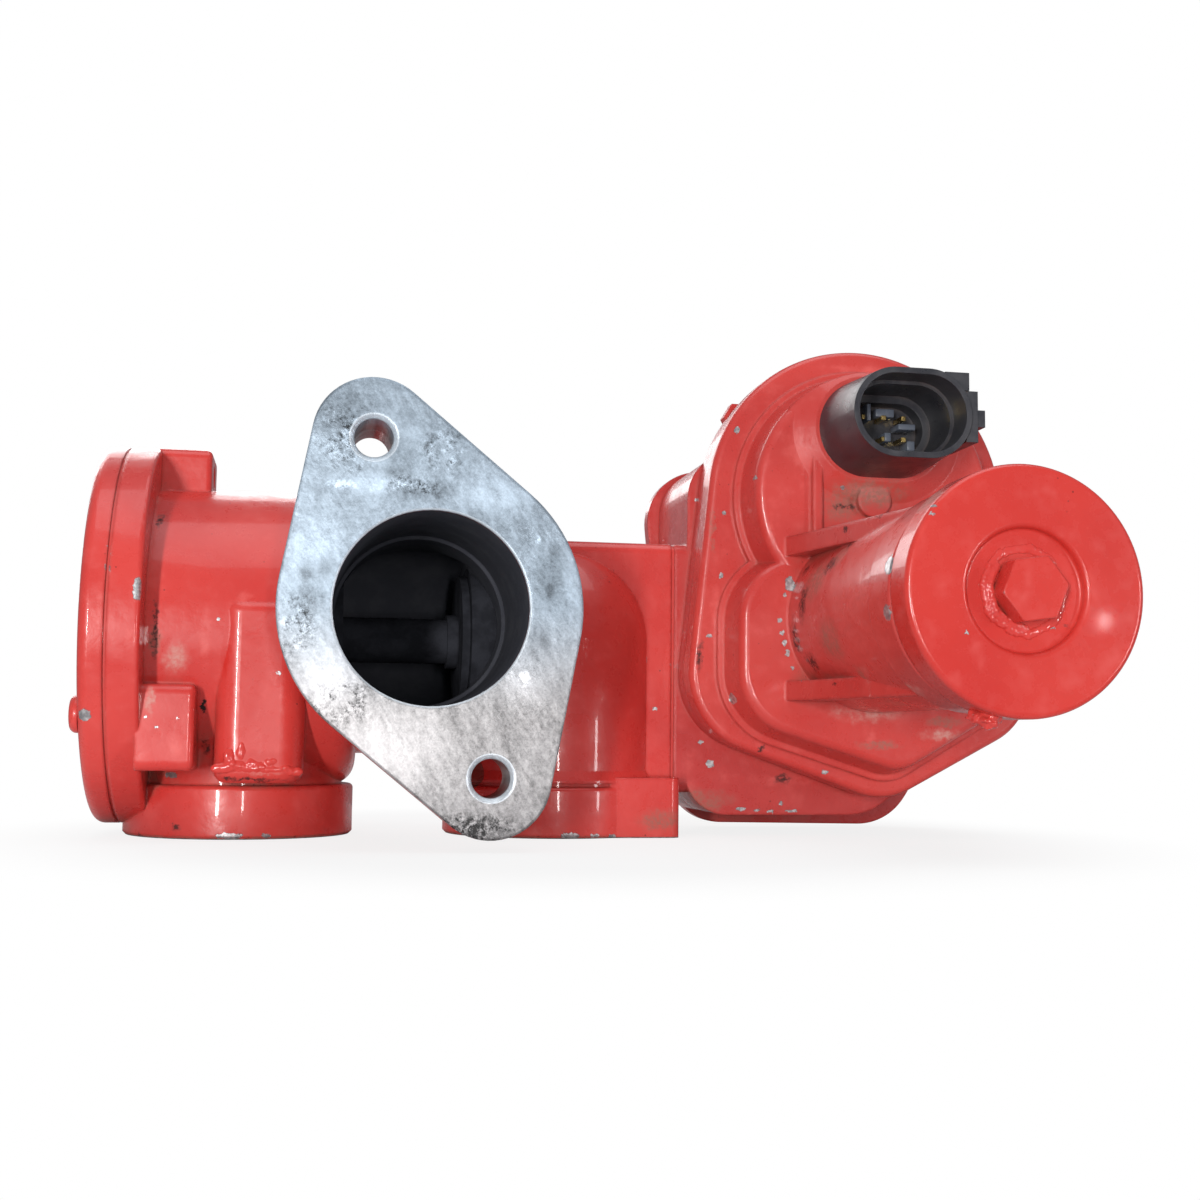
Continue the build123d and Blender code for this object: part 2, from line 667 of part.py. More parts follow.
def make_roller():
    ring = rod_y(ROLLER_R, OUT_GEAR_Y1 + 1.6, CAM_Y1 - 0.3, x=PIN_X)
    return ring - rod_y(DRIVE_PIN_R + RUN_GAP, OUT_GEAR_Y1, CAM_Y1 + 2, x=PIN_X)


# ---------------------------------------------------------------- gear train
def slot_edge(offset, steps=10):
    """Points beside the cam slot's centre line, offset square to it."""
    rise = STROKE / math.radians(OPEN_ANGLE)
    points = []
    for k in range(steps + 1):
        share = k / steps
        turn = math.radians(180 + OPEN_ANGLE * share)
        r = CAM_R_CLOSED + STROKE * share
        along = (rise * math.cos(turn) - r * math.sin(turn), rise * math.sin(turn) + r * math.cos(turn))
        push = offset / math.hypot(*along)
        points.append((r * math.cos(turn) + push * along[1], r * math.sin(turn) - push * along[0]))
    return points


def slot_face():
    half = ROLLER_R + SLOT_GAP
    outer = Spline(*slot_edge(half))
    inner = Spline(*slot_edge(-half))
    close_start = Line(inner @ 0, outer @ 0)
    close_end = Line(outer @ 1, inner @ 1)
    face = make_face([outer, close_end, inner, close_start])
    first, last = slot_edge(0)[0], slot_edge(0)[-1]
    return face + disc(*first, half) + disc(*last, half)


def make_output_gear():
    first = round(OUT_TEETH * (90 - 22) / 360)
    last = round(OUT_TEETH * (90 + OPEN_ANGLE + 22) / 360)
    phase = 90 + 180 / OUT_TEETH - 360 / OUT_TEETH * round(OUT_TEETH / 4)
    teeth = gear_face(OUT_MODULE, OUT_TEETH, 0.7, phase, first, last)
    at = Pos(AXIS_X, STEM_Z)
    rim = across_y(at * teeth, OUT_GEAR_Y0, OUT_GEAR_Y1)
    cam = across_y(disc(AXIS_X, STEM_Z, CAM_R), OUT_GEAR_Y1 - 0.5, CAM_Y1)
    cam -= across_y(at * slot_face(), OUT_GEAR_Y1 + 1.0, CAM_Y1 + 1)
    windows = None
    for degrees in (-50, -5, 40, 85, 130):
        spoke = math.radians(degrees)
        x = AXIS_X + WINDOW_PCR * math.cos(spoke)
        z = STEM_Z + WINDOW_PCR * math.sin(spoke)
        hole = rod_y(WINDOW_R, OUT_GEAR_Y0 - 1, CAM_Y1 + 1, x, z)
        windows = hole if windows is None else windows + hole
    solid = rim + cam - windows
    solid -= rod_y(OUT_PIN_R + OUT_BUSH_WALL, OUT_GEAR_Y0 - 1, CAM_Y1 + 1)
    return solid - magnet_solid()


def magnet_solid():
    """Arc magnet let into the gear's front face."""
    ring = disc(AXIS_X, STEM_Z, MAGNET_ARC_R + 2) - disc(AXIS_X, STEM_Z, MAGNET_ARC_R - 2)
    reach = 2 * MAGNET_ARC_R
    corners = [(0, 0)]
    for degrees in (SENSOR_ANGLE - 4, SENSOR_ANGLE + OPEN_ANGLE / 2, SENSOR_ANGLE + OPEN_ANGLE + 4):
        turn = math.radians(degrees)
        corners.append((reach * math.cos(turn), reach * math.sin(turn)))
    sector = Pos(AXIS_X, STEM_Z) * make_face(Polyline(*corners, close=True))
    return across_y(ring & sector, OUT_GEAR_Y0 - 0.6, OUT_GEAR_Y0 + 2.0)


def make_output_bush():
    sleeve = rod_y(OUT_PIN_R + OUT_BUSH_WALL, OUT_GEAR_Y0, CAM_Y1)
    return sleeve - rod_y(OUT_PIN_R + RUN_GAP, OUT_GEAR_Y0 - 1, CAM_Y1 + 1)


def make_output_pin():
    return rod_y(OUT_PIN_R, OUT_GEAR_Y0 - 1.2, REAR_Y0 + 2)


def make_idler():
    wheel_phase = -90 + 180 / WHEEL_TEETH
    small_phase = -90
    at = Pos(AXIS_X, IDLER_Z)
    wheel = across_y(at * gear_face(IN_MODULE, WHEEL_TEETH, 0.75, wheel_phase), WHEEL_Y0, WHEEL_Y0 + WHEEL_T)
    small_teeth = gear_face(OUT_MODULE, SMALL_TEETH, 0.8, small_phase)
    small = across_y(at * small_teeth, WHEEL_Y0 + WHEEL_T - 0.5, OUT_GEAR_Y1 + 1.5)
    web = rod_y(WHEEL_R - 4.0, WHEEL_Y0 - 1, WHEEL_Y0 + 1.5, AXIS_X, IDLER_Z)
    web -= rod_y(9.0, WHEEL_Y0 - 2, WHEEL_Y0 + 3, AXIS_X, IDLER_Z)
    holes = None
    for k in range(WHEEL_HOLES):
        spoke = math.radians(360 / WHEEL_HOLES * k + 18)
        x = AXIS_X + WHEEL_HOLE_PCR * math.cos(spoke)
        z = IDLER_Z + WHEEL_HOLE_PCR * math.sin(spoke)
        hole = rod_y(WHEEL_HOLE_R, WHEEL_Y0 - 1, WHEEL_Y0 + WHEEL_T + 1, x, z)
        holes = hole if holes is None else holes + hole
    solid = wheel + small - web - holes
    return solid - rod_y(IDLER_PIN_R + RUN_GAP, WHEEL_Y0 - 2, OUT_GEAR_Y1 + 5, AXIS_X, IDLER_Z)


def make_idler_pin():
    return rod_y(IDLER_PIN_R, DOME_Y + 1.5, REAR_Y0 + 2, AXIS_X, IDLER_Z)


# ---------------------------------------------------------------- gear housing
def rod_at(r, y0, y1, place):
    return rod_y(r, y0, y1, AXIS_X + place[0], place[1])


def make_housing():
    flange = across_y(wrap(grown(RIM, -0.6)), HOUSE_Y0, HOUSE_Y0 + HOUSING_FLANGE_T)
    block = across_y(wrap(BLOCK), PLATE_Y0, HOUSING_Y1)
    joint = box(HOUSE_X0, HOUSE_X0 + 9, PLATE_Y0, PLATE_Y1, PLATE_Z0, PLATE_Z1)
    joint = fillet(joint.edges().filter_by(Axis.X), PLATE_CORNER)
    solid = flange + block + joint
    solid -= across_y(inner_outline(), HOUSE_Y0 - 1, PLATE_Y0 + 3)
    solid -= across_y(wrap(grown(BLOCK, -HOUSING_WALL)), PLATE_Y0 + 3, HOUSING_Y1 + 1)
    for place in LONG_SCREWS:
        solid += rod_at(COLUMN_R, HOUSE_Y0, HOUSING_Y1, place) & across_y(wrap(BLOCK), HOUSE_Y0, HOUSING_Y1)
    for place in LONG_SCREWS:
        solid -= rod_at(LONG_SCREW_R + SCREW_CLEAR, HOUSE_Y0 - 1, HOUSING_Y1 + 1, place)
    for place in SHORT_SCREWS:
        solid -= rod_at(SHORT_SCREW_R + SCREW_CLEAR, HOUSE_Y0 - 1, HOUSE_Y0 + HOUSING_FLANGE_T + 1, place)
    solid -= rod_x(SEAL_R - 1.5, HOUSE_X0 - 1, INNER_X + 1)
    solid -= rod_x(SPRING_R + 2.4, SPOT_X, SPOT_X + SPOTFACE_REACH)
    for y, z in HOUSING_SCREWS:
        solid -= rod_x(HOUSING_SCREW_R + SCREW_CLEAR, HOUSE_X0 - 1, INNER_X + 1, y, z)
        solid -= rod_x(HOUSING_HEAD_R + 0.3, SPOT_X, SPOT_X + SPOTFACE_REACH, y, z)
    return solid


def make_housing_gasket():
    sheet = box(PLATE_X1, HOUSE_X0, PLATE_Y0 + 0.4, PLATE_Y1 - 0.4, PLATE_Z0 + 0.4, PLATE_Z1 - 0.4)
    sheet = fillet(sheet.edges().filter_by(Axis.X), 2.6)
    sheet -= rod_x(SEAL_R - 1.5, PLATE_X1 - 1, HOUSE_X0 + 1)
    for y, z in HOUSING_SCREWS:
        sheet -= rod_x(HOUSING_SCREW_R + SCREW_CLEAR, PLATE_X1 - 1, HOUSE_X0 + 1, y, z)
    return sheet


def make_housing_screws():
    screws = []
    for y, z in HOUSING_SCREWS:
        head = rod_x(HOUSING_HEAD_R, SPOT_X, SPOT_X + 3.6, y, z)
        shank = rod_x(HOUSING_SCREW_R - TAP_GAP, PLATE_X1 - TAP_DEPTH + TAP_SPARE, SPOT_X + 1, y, z)
        socket = across_x(Pos(y, z) * hexagon(4.0), SPOT_X + 1.6, SPOT_X + 5)
        screws.append(head + shank - socket)
    return Compound(screws)


# ---------------------------------------------------------------- rear cover
def make_rear_cover():
    plate = across_y(wrap(REAR), REAR_Y0, REAR_Y1)
    plate = fillet(plate.faces().sort_by(Axis.Y)[-1].edges(), 1.6)
    spigot = across_y(wrap(grown(BLOCK, -HOUSING_WALL - SPIGOT_GAP)), REAR_Y0 - REAR_LIP, REAR_Y0 + 1)
    spigot -= across_y(wrap(grown(BLOCK, -HOUSING_WALL - 3)), REAR_Y0 - REAR_LIP - 1, REAR_Y0)
    out_boss = rod_y(OUT_PIN_R + 2, CAM_Y1 + 1.5, REAR_Y0 + 1)
    idler_boss = rod_y(IDLER_PIN_R + 3, OUT_GEAR_Y1 + 2.5, REAR_Y0 + 1, AXIS_X, IDLER_Z)
    solid = plate + spigot + out_boss + idler_boss
    for side in (-1, 1):
        z0 = STEM_Z + side * (YOKE_H + RAIL_GAP)
        z1 = z0 + side * RAIL_T
        x0 = SPRING_X1 + RETAINER_T + 0.8
        rail = box(x0, PIN_X + YOKE_HALF, STEM_Y + STEM_R, REAR_Y0 + 1, min(z0, z1), max(z0, z1))
        solid += rail
    for place in LONG_SCREWS:
        solid -= rod_at(COLUMN_R + 0.5, REAR_Y0 - REAR_LIP - 1, REAR_Y0, place)
        solid -= rod_at(LONG_SCREW_R + SCREW_CLEAR, REAR_Y0 - 1, REAR_Y1 + 1, place)
    solid -= rod_y(OUT_PIN_R, CAM_Y1, REAR_Y0 + 2)
    return solid - rod_y(IDLER_PIN_R, OUT_GEAR_Y1, REAR_Y0 + 2, AXIS_X, IDLER_Z)


def make_rear_gasket():
    sheet = across_y(wrap(grown(BLOCK, -0.5)), HOUSING_Y1, REAR_Y0)
    sheet -= across_y(wrap(grown(BLOCK, -HOUSING_WALL)), HOUSING_Y1 - 1, REAR_Y0 + 1)
    for place in LONG_SCREWS:
        lug = disc(AXIS_X + place[0], place[1], COLUMN_R) & wrap(grown(BLOCK, -0.5))
        sheet += across_y(lug, HOUSING_Y1, REAR_Y0)
    for place in LONG_SCREWS:
        sheet -= rod_at(LONG_SCREW_R + SCREW_CLEAR, HOUSING_Y1 - 1, REAR_Y0 + 1, place)
    return sheet


def make_long_screws():
    screws = []
    for place in LONG_SCREWS:
        shank = rod_at(LONG_SCREW_R - TAP_GAP, RIM_Y0 + 2.2, REAR_Y1 + 1, place)
        head = across_y(Pos(AXIS_X + place[0], place[1]) * hexagon(10.0), REAR_Y1 + 1.2, REAR_Y1 + 5.2)
        flange = rod_at(6.4, REAR_Y1, REAR_Y1 + 1.3, place)
        screws.append(shank + head + flange)
    return Compound(screws)


def make_short_screws():
    screws = []
    back = HOUSE_Y0 + HOUSING_FLANGE_T
    for place in SHORT_SCREWS:
        shank = rod_at(SHORT_SCREW_R - TAP_GAP, RIM_Y0 + 2.2, back + 1, place)
        head = across_y(Pos(AXIS_X + place[0], place[1]) * hexagon(8.0), back, back + 4)
        screws.append(shank + head)
    return Compound(screws)


# ---------------------------------------------------------------- gear cover
def make_cover_seal():
    sheet = across_y(wrap(grown(RIM, -1.0)), RIM_Y1, HOUSE_Y0)
    sheet -= across_y(inner_outline(), RIM_Y1 - 1, HOUSE_Y0 + 1)
    for place in LONG_SCREWS:
        lug = disc(AXIS_X + place[0], place[1], COLUMN_R) & wrap(BLOCK) & wrap(grown(RIM, -1.0))
        sheet += across_y(lug, RIM_Y1, HOUSE_Y0)
    for place in LONG_SCREWS:
        sheet -= rod_at(LONG_SCREW_R + SCREW_CLEAR, RIM_Y1 - 1, HOUSE_Y0 + 1, place)
    for place in SHORT_SCREWS:
        sheet -= rod_at(SHORT_SCREW_R + SCREW_CLEAR, RIM_Y1 - 1, HOUSE_Y0 + 1, place)
    return sheet


def stadium(width, height):
    return RectangleRounded(width, height, height / 2 - 0.01)


def connector_outline(by):
    return Pos(CONN_X, CONN_Z) * stadium(CONN_W + 2 * by, CONN_H + 2 * by)


def gusset(side, mirror):
    """Flat rib beside the motor tube, widest at the dome."""
    plan = Polyline((AXIS_X, DOME_Y + 4), (AXIS_X - mirror * GUSSET_REACH, DOME_Y + 4),
                    (AXIS_X - mirror * GUSSET_END, GUSSET_Y), (AXIS_X, GUSSET_Y), close=True)
    z = MOTOR_Z + side * GUSSET_OFF
    rib = extrude(Plane.XY.offset(z - GUSSET_T / 2) * make_face(plan), amount=GUSSET_T)
    return rib


def make_gear_cover():
    rim = across_y(wrap(RIM), RIM_Y0, RIM_Y1)
    rim = fillet(rim.faces().sort_by(Axis.Y)[0].edges(), 2.0)
    step = across_y(dome_outline(0), RIM_Y0 - STEP_H, RIM_Y0 + 1)
    solid = rim + step
    plan = Plane(origin=(0, RIM_Y0, 0), x_dir=(1, 0, 0), z_dir=(0, -1, 0))
    rise = RIM_Y0 - DOME_Y
    top = disc(AXIS_X + DOME_TOP[0], DOME_TOP[1], DOME_TOP[2] - DOME_INSET)
    low = wrap(grown(LOW_DOME, -DOME_INSET))
    for outline in (top, low):
        dome = extrude(plan * outline, amount=rise, taper=DOME_DRAFT)
        dome = fillet(dome.faces().sort_by(Axis.Y)[0].edges(), 2.5)
        solid += dome
    solid += across_y(disc(AXIS_X, MOTOR_Z, TUBE_R), COLLAR_Y1 - 1, RIM_Y0 - 4)
    collar = across_y(disc(AXIS_X, MOTOR_Z, COLLAR_R), COLLAR_Y0, COLLAR_Y1)
    solid += fillet(collar.edges().filter_by(GeomType.CIRCLE), 0.9)
    solid += across_y(disc(AXIS_X, MOTOR_Z, SPIGOT_R), MOTOR_Y_FRONT - 3.5, COLLAR_Y0 + 1)
    for side in (-1, 1):
        for mirror in (-1, 1):
            solid += gusset(side, mirror)
    seat_plan = Plane(origin=(0, DOME_Y + 1, 0), x_dir=(1, 0, 0), z_dir=(0, -1, 0))
    seat_h = CONN_SEAT_T + 1
    seat_base = CONN_SEAT_W + seat_h * math.tan(math.radians(COLLAR_FLARE))
    seat = extrude(seat_plan * connector_outline(seat_base), amount=seat_h, taper=COLLAR_FLARE)
    dome_edge = disc(AXIS_X + DOME_TOP[0], DOME_TOP[1], DOME_TOP[2] - DOME_INSET - 1.7)
    solid += seat & across_y(dome_edge, DOME_Y - CONN_SEAT_T - 1, DOME_Y + 2)
    solid += across_y(disc(AXIS_X - 1, IDLER_Z - 2.5, 4.6), DOME_Y - 2.2, DOME_Y + 1)
    solid += box(AXIS_X - 18, AXIS_X - 15.4, DOME_Y - 2, DOME_Y + 1, MOTOR_Z + GUSSET_OFF, CONN_Z - 8)
    return solid - cover_hollows()


def cover_hollows():
    mouth = across_y(inner_outline(), RIM_Y0 + RIM_ROOF, RIM_Y1 + 1)
    for place in LONG_SCREWS:
        mouth -= rod_at(COLUMN_R, RIM_Y0, RIM_Y1 + 1, place)
    roof_y = DOME_Y + DOME_WALL
    top = across_y(disc(AXIS_X, IDLER_Z, WHEEL_R + IN_MODULE + 0.7), roof_y, RIM_Y0 + RIM_ROOF + 1)
    low = across_y(wrap(grown(LOW_DOME, -7.5)), roof_y, RIM_Y0 + RIM_ROOF + 1)
    bore = across_y(disc(AXIS_X, MOTOR_Z, TUBE_BORE_R), MOTOR_Y_FRONT - 5, roof_y - 5)
    pocket = across_y(disc(AXIS_X, MOTOR_Z, BEARING_R), roof_y - 6, roof_y + 1)
    hollows = mouth + top + low + bore + pocket
    hollows += across_y(connector_outline(-CONN_PLUG_IN + 0.1), DOME_Y - 5, roof_y + 1)
    hollows += across_y(connector_outline(-1.2), DOME_Y - CONN_SEAT_T - 1, DOME_Y - CONN_SEAT_T + CONN_SEAL_T)
    for place in LONG_SCREWS:
        hollows += rod_at(LONG_SCREW_R - TAP_GAP, RIM_Y0 + 2, RIM_Y1 + 1, place)
    for place in SHORT_SCREWS:
        hollows += rod_at(SHORT_SCREW_R - TAP_GAP, RIM_Y0 + 2, RIM_Y1 + 1, place)
    return hollows + rod_y(IDLER_PIN_R, DOME_Y + 1.5, roof_y + 1, AXIS_X, IDLER_Z)


# ---------------------------------------------------------------- motor
def ring_y(r_out, r_in, y0, y1):
    return rod_y(r_out, y0, y1, AXIS_X, MOTOR_Z) - rod_y(r_in, y0 - 1, y1 + 1, AXIS_X, MOTOR_Z)


CAN_R = TUBE_BORE_R - CAN_GAP
CAN_Y0 = MOTOR_Y_FRONT + 1.0
CAN_Y1 = DOME_Y + DOME_WALL - 5 - 0.2
MAGNET_R = CAN_R - CAN_WALL
CORE_R = MAGNET_R - MAGNET_T - AIR_GAP
CORE_Y0 = CAN_Y0 + 14
SHAFT_Y0 = CAN_Y0 - 0.5
SHAFT_Y1 = WHEEL_Y0 + WHEEL_T + 0.8
BRUSH_Y0 = CORE_Y0 + CORE_L + 9
BRUSH_H = 4.8
BRUSH_HALF = 2.1
BRUSH_R1 = COMMUTATOR_R + 10.5
HOLDER_R0 = COMMUTATOR_R + 2.5
HOLDER_R1 = BRUSH_R1 + 2.0
BRUSH_SLACK = 0.1
HOLDER_WALL = 1.2


def make_can():
    shell = ring_y(CAN_R, MAGNET_R, CAN_Y0 + CAN_WALL, CAN_Y1)
    end = ring_y(CAN_R, BEARING_R, CAN_Y0, CAN_Y0 + CAN_WALL + 0.01)
    pocket = ring_y(BEARING_R + CAN_WALL, BEARING_R, CAN_Y0, CAN_Y0 + BEARING_W)
    return shell + end + pocket


def make_magnets():
    arcs = []
    y0 = CORE_Y0 - MAGNET_OVER
    y1 = CORE_Y0 + CORE_L + MAGNET_OVER
    ring = ring_y(MAGNET_R, MAGNET_R - MAGNET_T, y0, y1)
    for side in (-1, 1):
        near = MOTOR_Z + side * MAGNET_SPLIT
        far = MOTOR_Z + side * MAGNET_R
        keep = box(AXIS_X - MAGNET_R, AXIS_X + MAGNET_R, y0, y1, min(near, far), max(near, far))
        arcs.append(ring & keep)
    return Compound(arcs)


def make_core():
    slots = disc(0, 0, CORE_R)
    for k in range(7):
        turn = 360 * k / 7
        slots -= Rot(0, 0, turn) * (Pos(CORE_R, 0) * Rectangle(7, 1.6))
        slots -= Rot(0, 0, turn) * (Pos(CORE_R - 5.5, 0) * Circle(2.4))
    core = across_y(Pos(AXIS_X, MOTOR_Z) * slots, CORE_Y0, CORE_Y0 + CORE_L)
    return core - rod_y(MOTOR_SHAFT_R, CORE_Y0 - 1, CORE_Y0 + CORE_L + 1, AXIS_X, MOTOR_Z)


def make_windings():
    drums = []
    for y0 in (CORE_Y0 - 5, CORE_Y0 + CORE_L):
        drum = rod_y(CORE_R - 2, y0, y0 + 5, AXIS_X, MOTOR_Z)
        drum = fillet(drum.edges().filter_by(GeomType.CIRCLE), 1.8)
        drums.append(drum - rod_y(MOTOR_SHAFT_R, y0 - 1, y0 + 6, AXIS_X, MOTOR_Z))
    return Compound(drums)


def make_commutator():
    return ring_y(COMMUTATOR_R, MOTOR_SHAFT_R, CORE_Y0 + CORE_L + 6, CORE_Y0 + CORE_L + 16)


def make_shaft():
    return rod_y(MOTOR_SHAFT_R, SHAFT_Y0, SHAFT_Y1, AXIS_X, MOTOR_Z)


def make_pinion():
    teeth = Pos(AXIS_X, MOTOR_Z) * gear_face(IN_MODULE, PINION_TEETH, 0.9, 90)
    gear = across_y(teeth, WHEEL_Y0 - 0.6, SHAFT_Y1)
    return gear - rod_y(MOTOR_SHAFT_R, WHEEL_Y0 - 2, SHAFT_Y1 + 1, AXIS_X, MOTOR_Z)


def make_bearing(y0):
    return ring_y(BEARING_R, MOTOR_SHAFT_R + RUN_GAP, y0, y0 + BEARING_W)


def brush_box(side, half, y0, y1, r0, r1):
    """Block on one side of the shaft, from r0 to r1 out."""
    z0 = MOTOR_Z + min(side * r0, side * r1)
    z1 = MOTOR_Z + max(side * r0, side * r1)
    return box(AXIS_X - half, AXIS_X + half, y0, y1, z0, z1)


def make_brush_plate():
    top = BRUSH_Y0 + BRUSH_H + 2 * BRUSH_SLACK
    plate = ring_y(MAGNET_R - 0.1, HOLDER_R0, top + HOLDER_WALL - 0.2, top + HOLDER_WALL + 1.8)
    y0 = BRUSH_Y0 - HOLDER_WALL
    for side in (-1, 1):
        plate += brush_box(side, BRUSH_HALF + HOLDER_WALL, y0, top + HOLDER_WALL, HOLDER_R0, HOLDER_R1)
    for side in (-1, 1):
        plate -= brush_box(side, BRUSH_HALF + BRUSH_SLACK, BRUSH_Y0, top, 0, BRUSH_R1 + 1)
    return plate


def make_brushes():
    brushes = []
    for side in (-1, 1):
        y0 = BRUSH_Y0 + BRUSH_SLACK
        brushes.append(brush_box(side, BRUSH_HALF, y0, y0 + BRUSH_H, COMMUTATOR_R + 0.3, BRUSH_R1))
    return Compound(brushes)


def make_cap():
    skirt_r = SPIGOT_R + CAP_SKIRT_GAP
    inside_y = CAP_Y0 + CAP_FACE_T
    solid = rod_y(CAP_R, CAP_Y0, CAP_Y1, AXIS_X, MOTOR_Z)
    solid = fillet(solid.edges().filter_by(GeomType.CIRCLE).group_by(Axis.Y)[0], 1.4)
    solid -= rod_y(skirt_r, inside_y, CAP_Y1 + 1, AXIS_X, MOTOR_Z)
    ring = rod_y(CAP_RING_R, CAP_Y0 - 1, CAP_Y0 + CAP_RING_DEPTH, AXIS_X, MOTOR_Z)
    ring_floor = ring.edges().filter_by(GeomType.CIRCLE).group_by(Axis.Y)[-1]
    ring = fillet(ring_floor, CAP_RING_DEPTH - CAP_RING_ROUND - 0.1)
    solid -= ring
    mouth = solid.edges().filter_by(GeomType.CIRCLE).group_by(Axis.Y)[0].sort_by(SortBy.RADIUS)[0]
    solid = fillet(mouth, CAP_RING_ROUND)
    return solid - rod_y(PLUG_R - TAP_GAP, CAP_Y0, inside_y + 1, AXIS_X, MOTOR_Z)


def make_plug():
    seat_y = CAP_Y0 + CAP_RING_DEPTH
    head = across_y(Pos(AXIS_X, MOTOR_Z) * (Rot(0, 0, 8) * hexagon(HEX_AF)), seat_y - HEX_H, seat_y)
    dome = Pos(AXIS_X, seat_y - HEX_H - HEX_CROWN + HEX_CROWN_R, MOTOR_Z) * Sphere(HEX_CROWN_R)
    head = fillet(head.edges().filter_by(Axis.Y), 0.8)
    shank = rod_y(PLUG_R - TAP_GAP, seat_y - 1, CAP_Y0 + CAP_FACE_T + 1.2, AXIS_X, MOTOR_Z)
    return (head & dome) + shank


def make_cap_seal():
    return ring_y(SPIGOT_R + 1.2, SPIGOT_R, COLLAR_Y0 - 2.6, COLLAR_Y0 - 0.2)


# ---------------------------------------------------------------- connector and sensor
def make_connector():
    face_y = DOME_Y - CONN_SEAT_T
    length = face_y - CONN_Y0
    base = Plane(origin=(0, face_y, 0), x_dir=(1, 0, 0), z_dir=(0, -1, 0))
    draft = math.degrees(math.atan(CONN_SPREAD / length))
    shell = extrude(base * connector_outline(CONN_SPREAD), amount=length, taper=draft)
    plug = across_y(connector_outline(-CONN_PLUG_IN), face_y - 1, CONN_BACK_Y)
    right = CONN_X + CONN_W / 2
    rail = box(right - 1.0, right + 2.2, CONN_Y0 + 1.5, face_y - 4, CONN_Z - 6.6, CONN_Z + 6.6)
    tab = box(right - 0.5, right + 4.6, CONN_Y0 + 2.5, CONN_Y0 + 7.5, CONN_Z - 2.4, CONN_Z + 2.0)
    top = CONN_Z + CONN_H / 2
    shoulder = box(right - 7, right - 0.5, CONN_Y0 + 0.6, face_y - 3, top - 5, top - 0.4)
    solid = shell + plug + rail + tab + shoulder
    solid -= across_y(connector_outline(-CONN_WALL), CONN_Y0 - 1, CONN_Y0 + CONN_STEP_L)
    solid -= across_y(connector_outline(-CONN_WALL - CONN_STEP), CONN_Y0, face_y - 1)
    solid -= across_y(connector_outline(-CONN_PLUG_IN - CONN_WALL), face_y - 2, CONN_FLOOR_Y)
    half = PIN_W / 2
    for x, z in pin_places():
        solid -= box(x - half, x + half, CONN_FLOOR_Y - 1, CONN_BACK_Y + 1, z - half, z + half)
    return solid


def pin_places():
    places = []
    for i in range(PIN_COLS):
        for j in range(PIN_ROWS):
            x = CONN_X + (i - (PIN_COLS - 1) / 2) * PIN_PITCH_X
            z = CONN_Z + (j - (PIN_ROWS - 1) / 2) * PIN_PITCH_Z
            places.append((x, z))
    return places


def make_terminals():
    half = PIN_W / 2
    pins = []
    for x, z in pin_places():
        pins.append(box(x - half, x + half, CONN_FLOOR_Y - PIN_REACH, CONN_BACK_Y + 0.8, z - half, z + half))
    return Compound(pins)


def make_connector_seal():
    y0 = DOME_Y - CONN_SEAT_T
    return across_y(connector_outline(-1.2) - connector_outline(-CONN_PLUG_IN), y0, y0 + CONN_SEAL_T)


def make_sensor_board():
    roof_y = DOME_Y + DOME_WALL
    x0 = AXIS_X - BOARD_FAR
    z1 = STEM_Z + BOARD_TOP
    board = box(x0, x0 + BOARD_W, roof_y, roof_y + BOARD_T, z1 - BOARD_H, z1)
    turn = math.radians(SENSOR_ANGLE)
    x = AXIS_X + MAGNET_ARC_R * math.cos(turn)
    z = STEM_Z + MAGNET_ARC_R * math.sin(turn)
    half = CHIP_W / 2
    chip = box(x - half, x + half, roof_y + BOARD_T - 0.5, OUT_GEAR_Y0 - CHIP_GAP, z - half, z + half)
    return board + chip


def make_clip():
    ring = rod_y(OUT_PIN_R + 2.2, OUT_GEAR_Y0 - 0.9, OUT_GEAR_Y0 - 0.1)
    ring -= rod_y(OUT_PIN_R, OUT_GEAR_Y0 - 2, OUT_GEAR_Y0 + 1)
    return ring - box(AXIS_X - 2, AXIS_X + 2, OUT_GEAR_Y0 - 2, OUT_GEAR_Y0 + 1, STEM_Z, STEM_Z + 20)


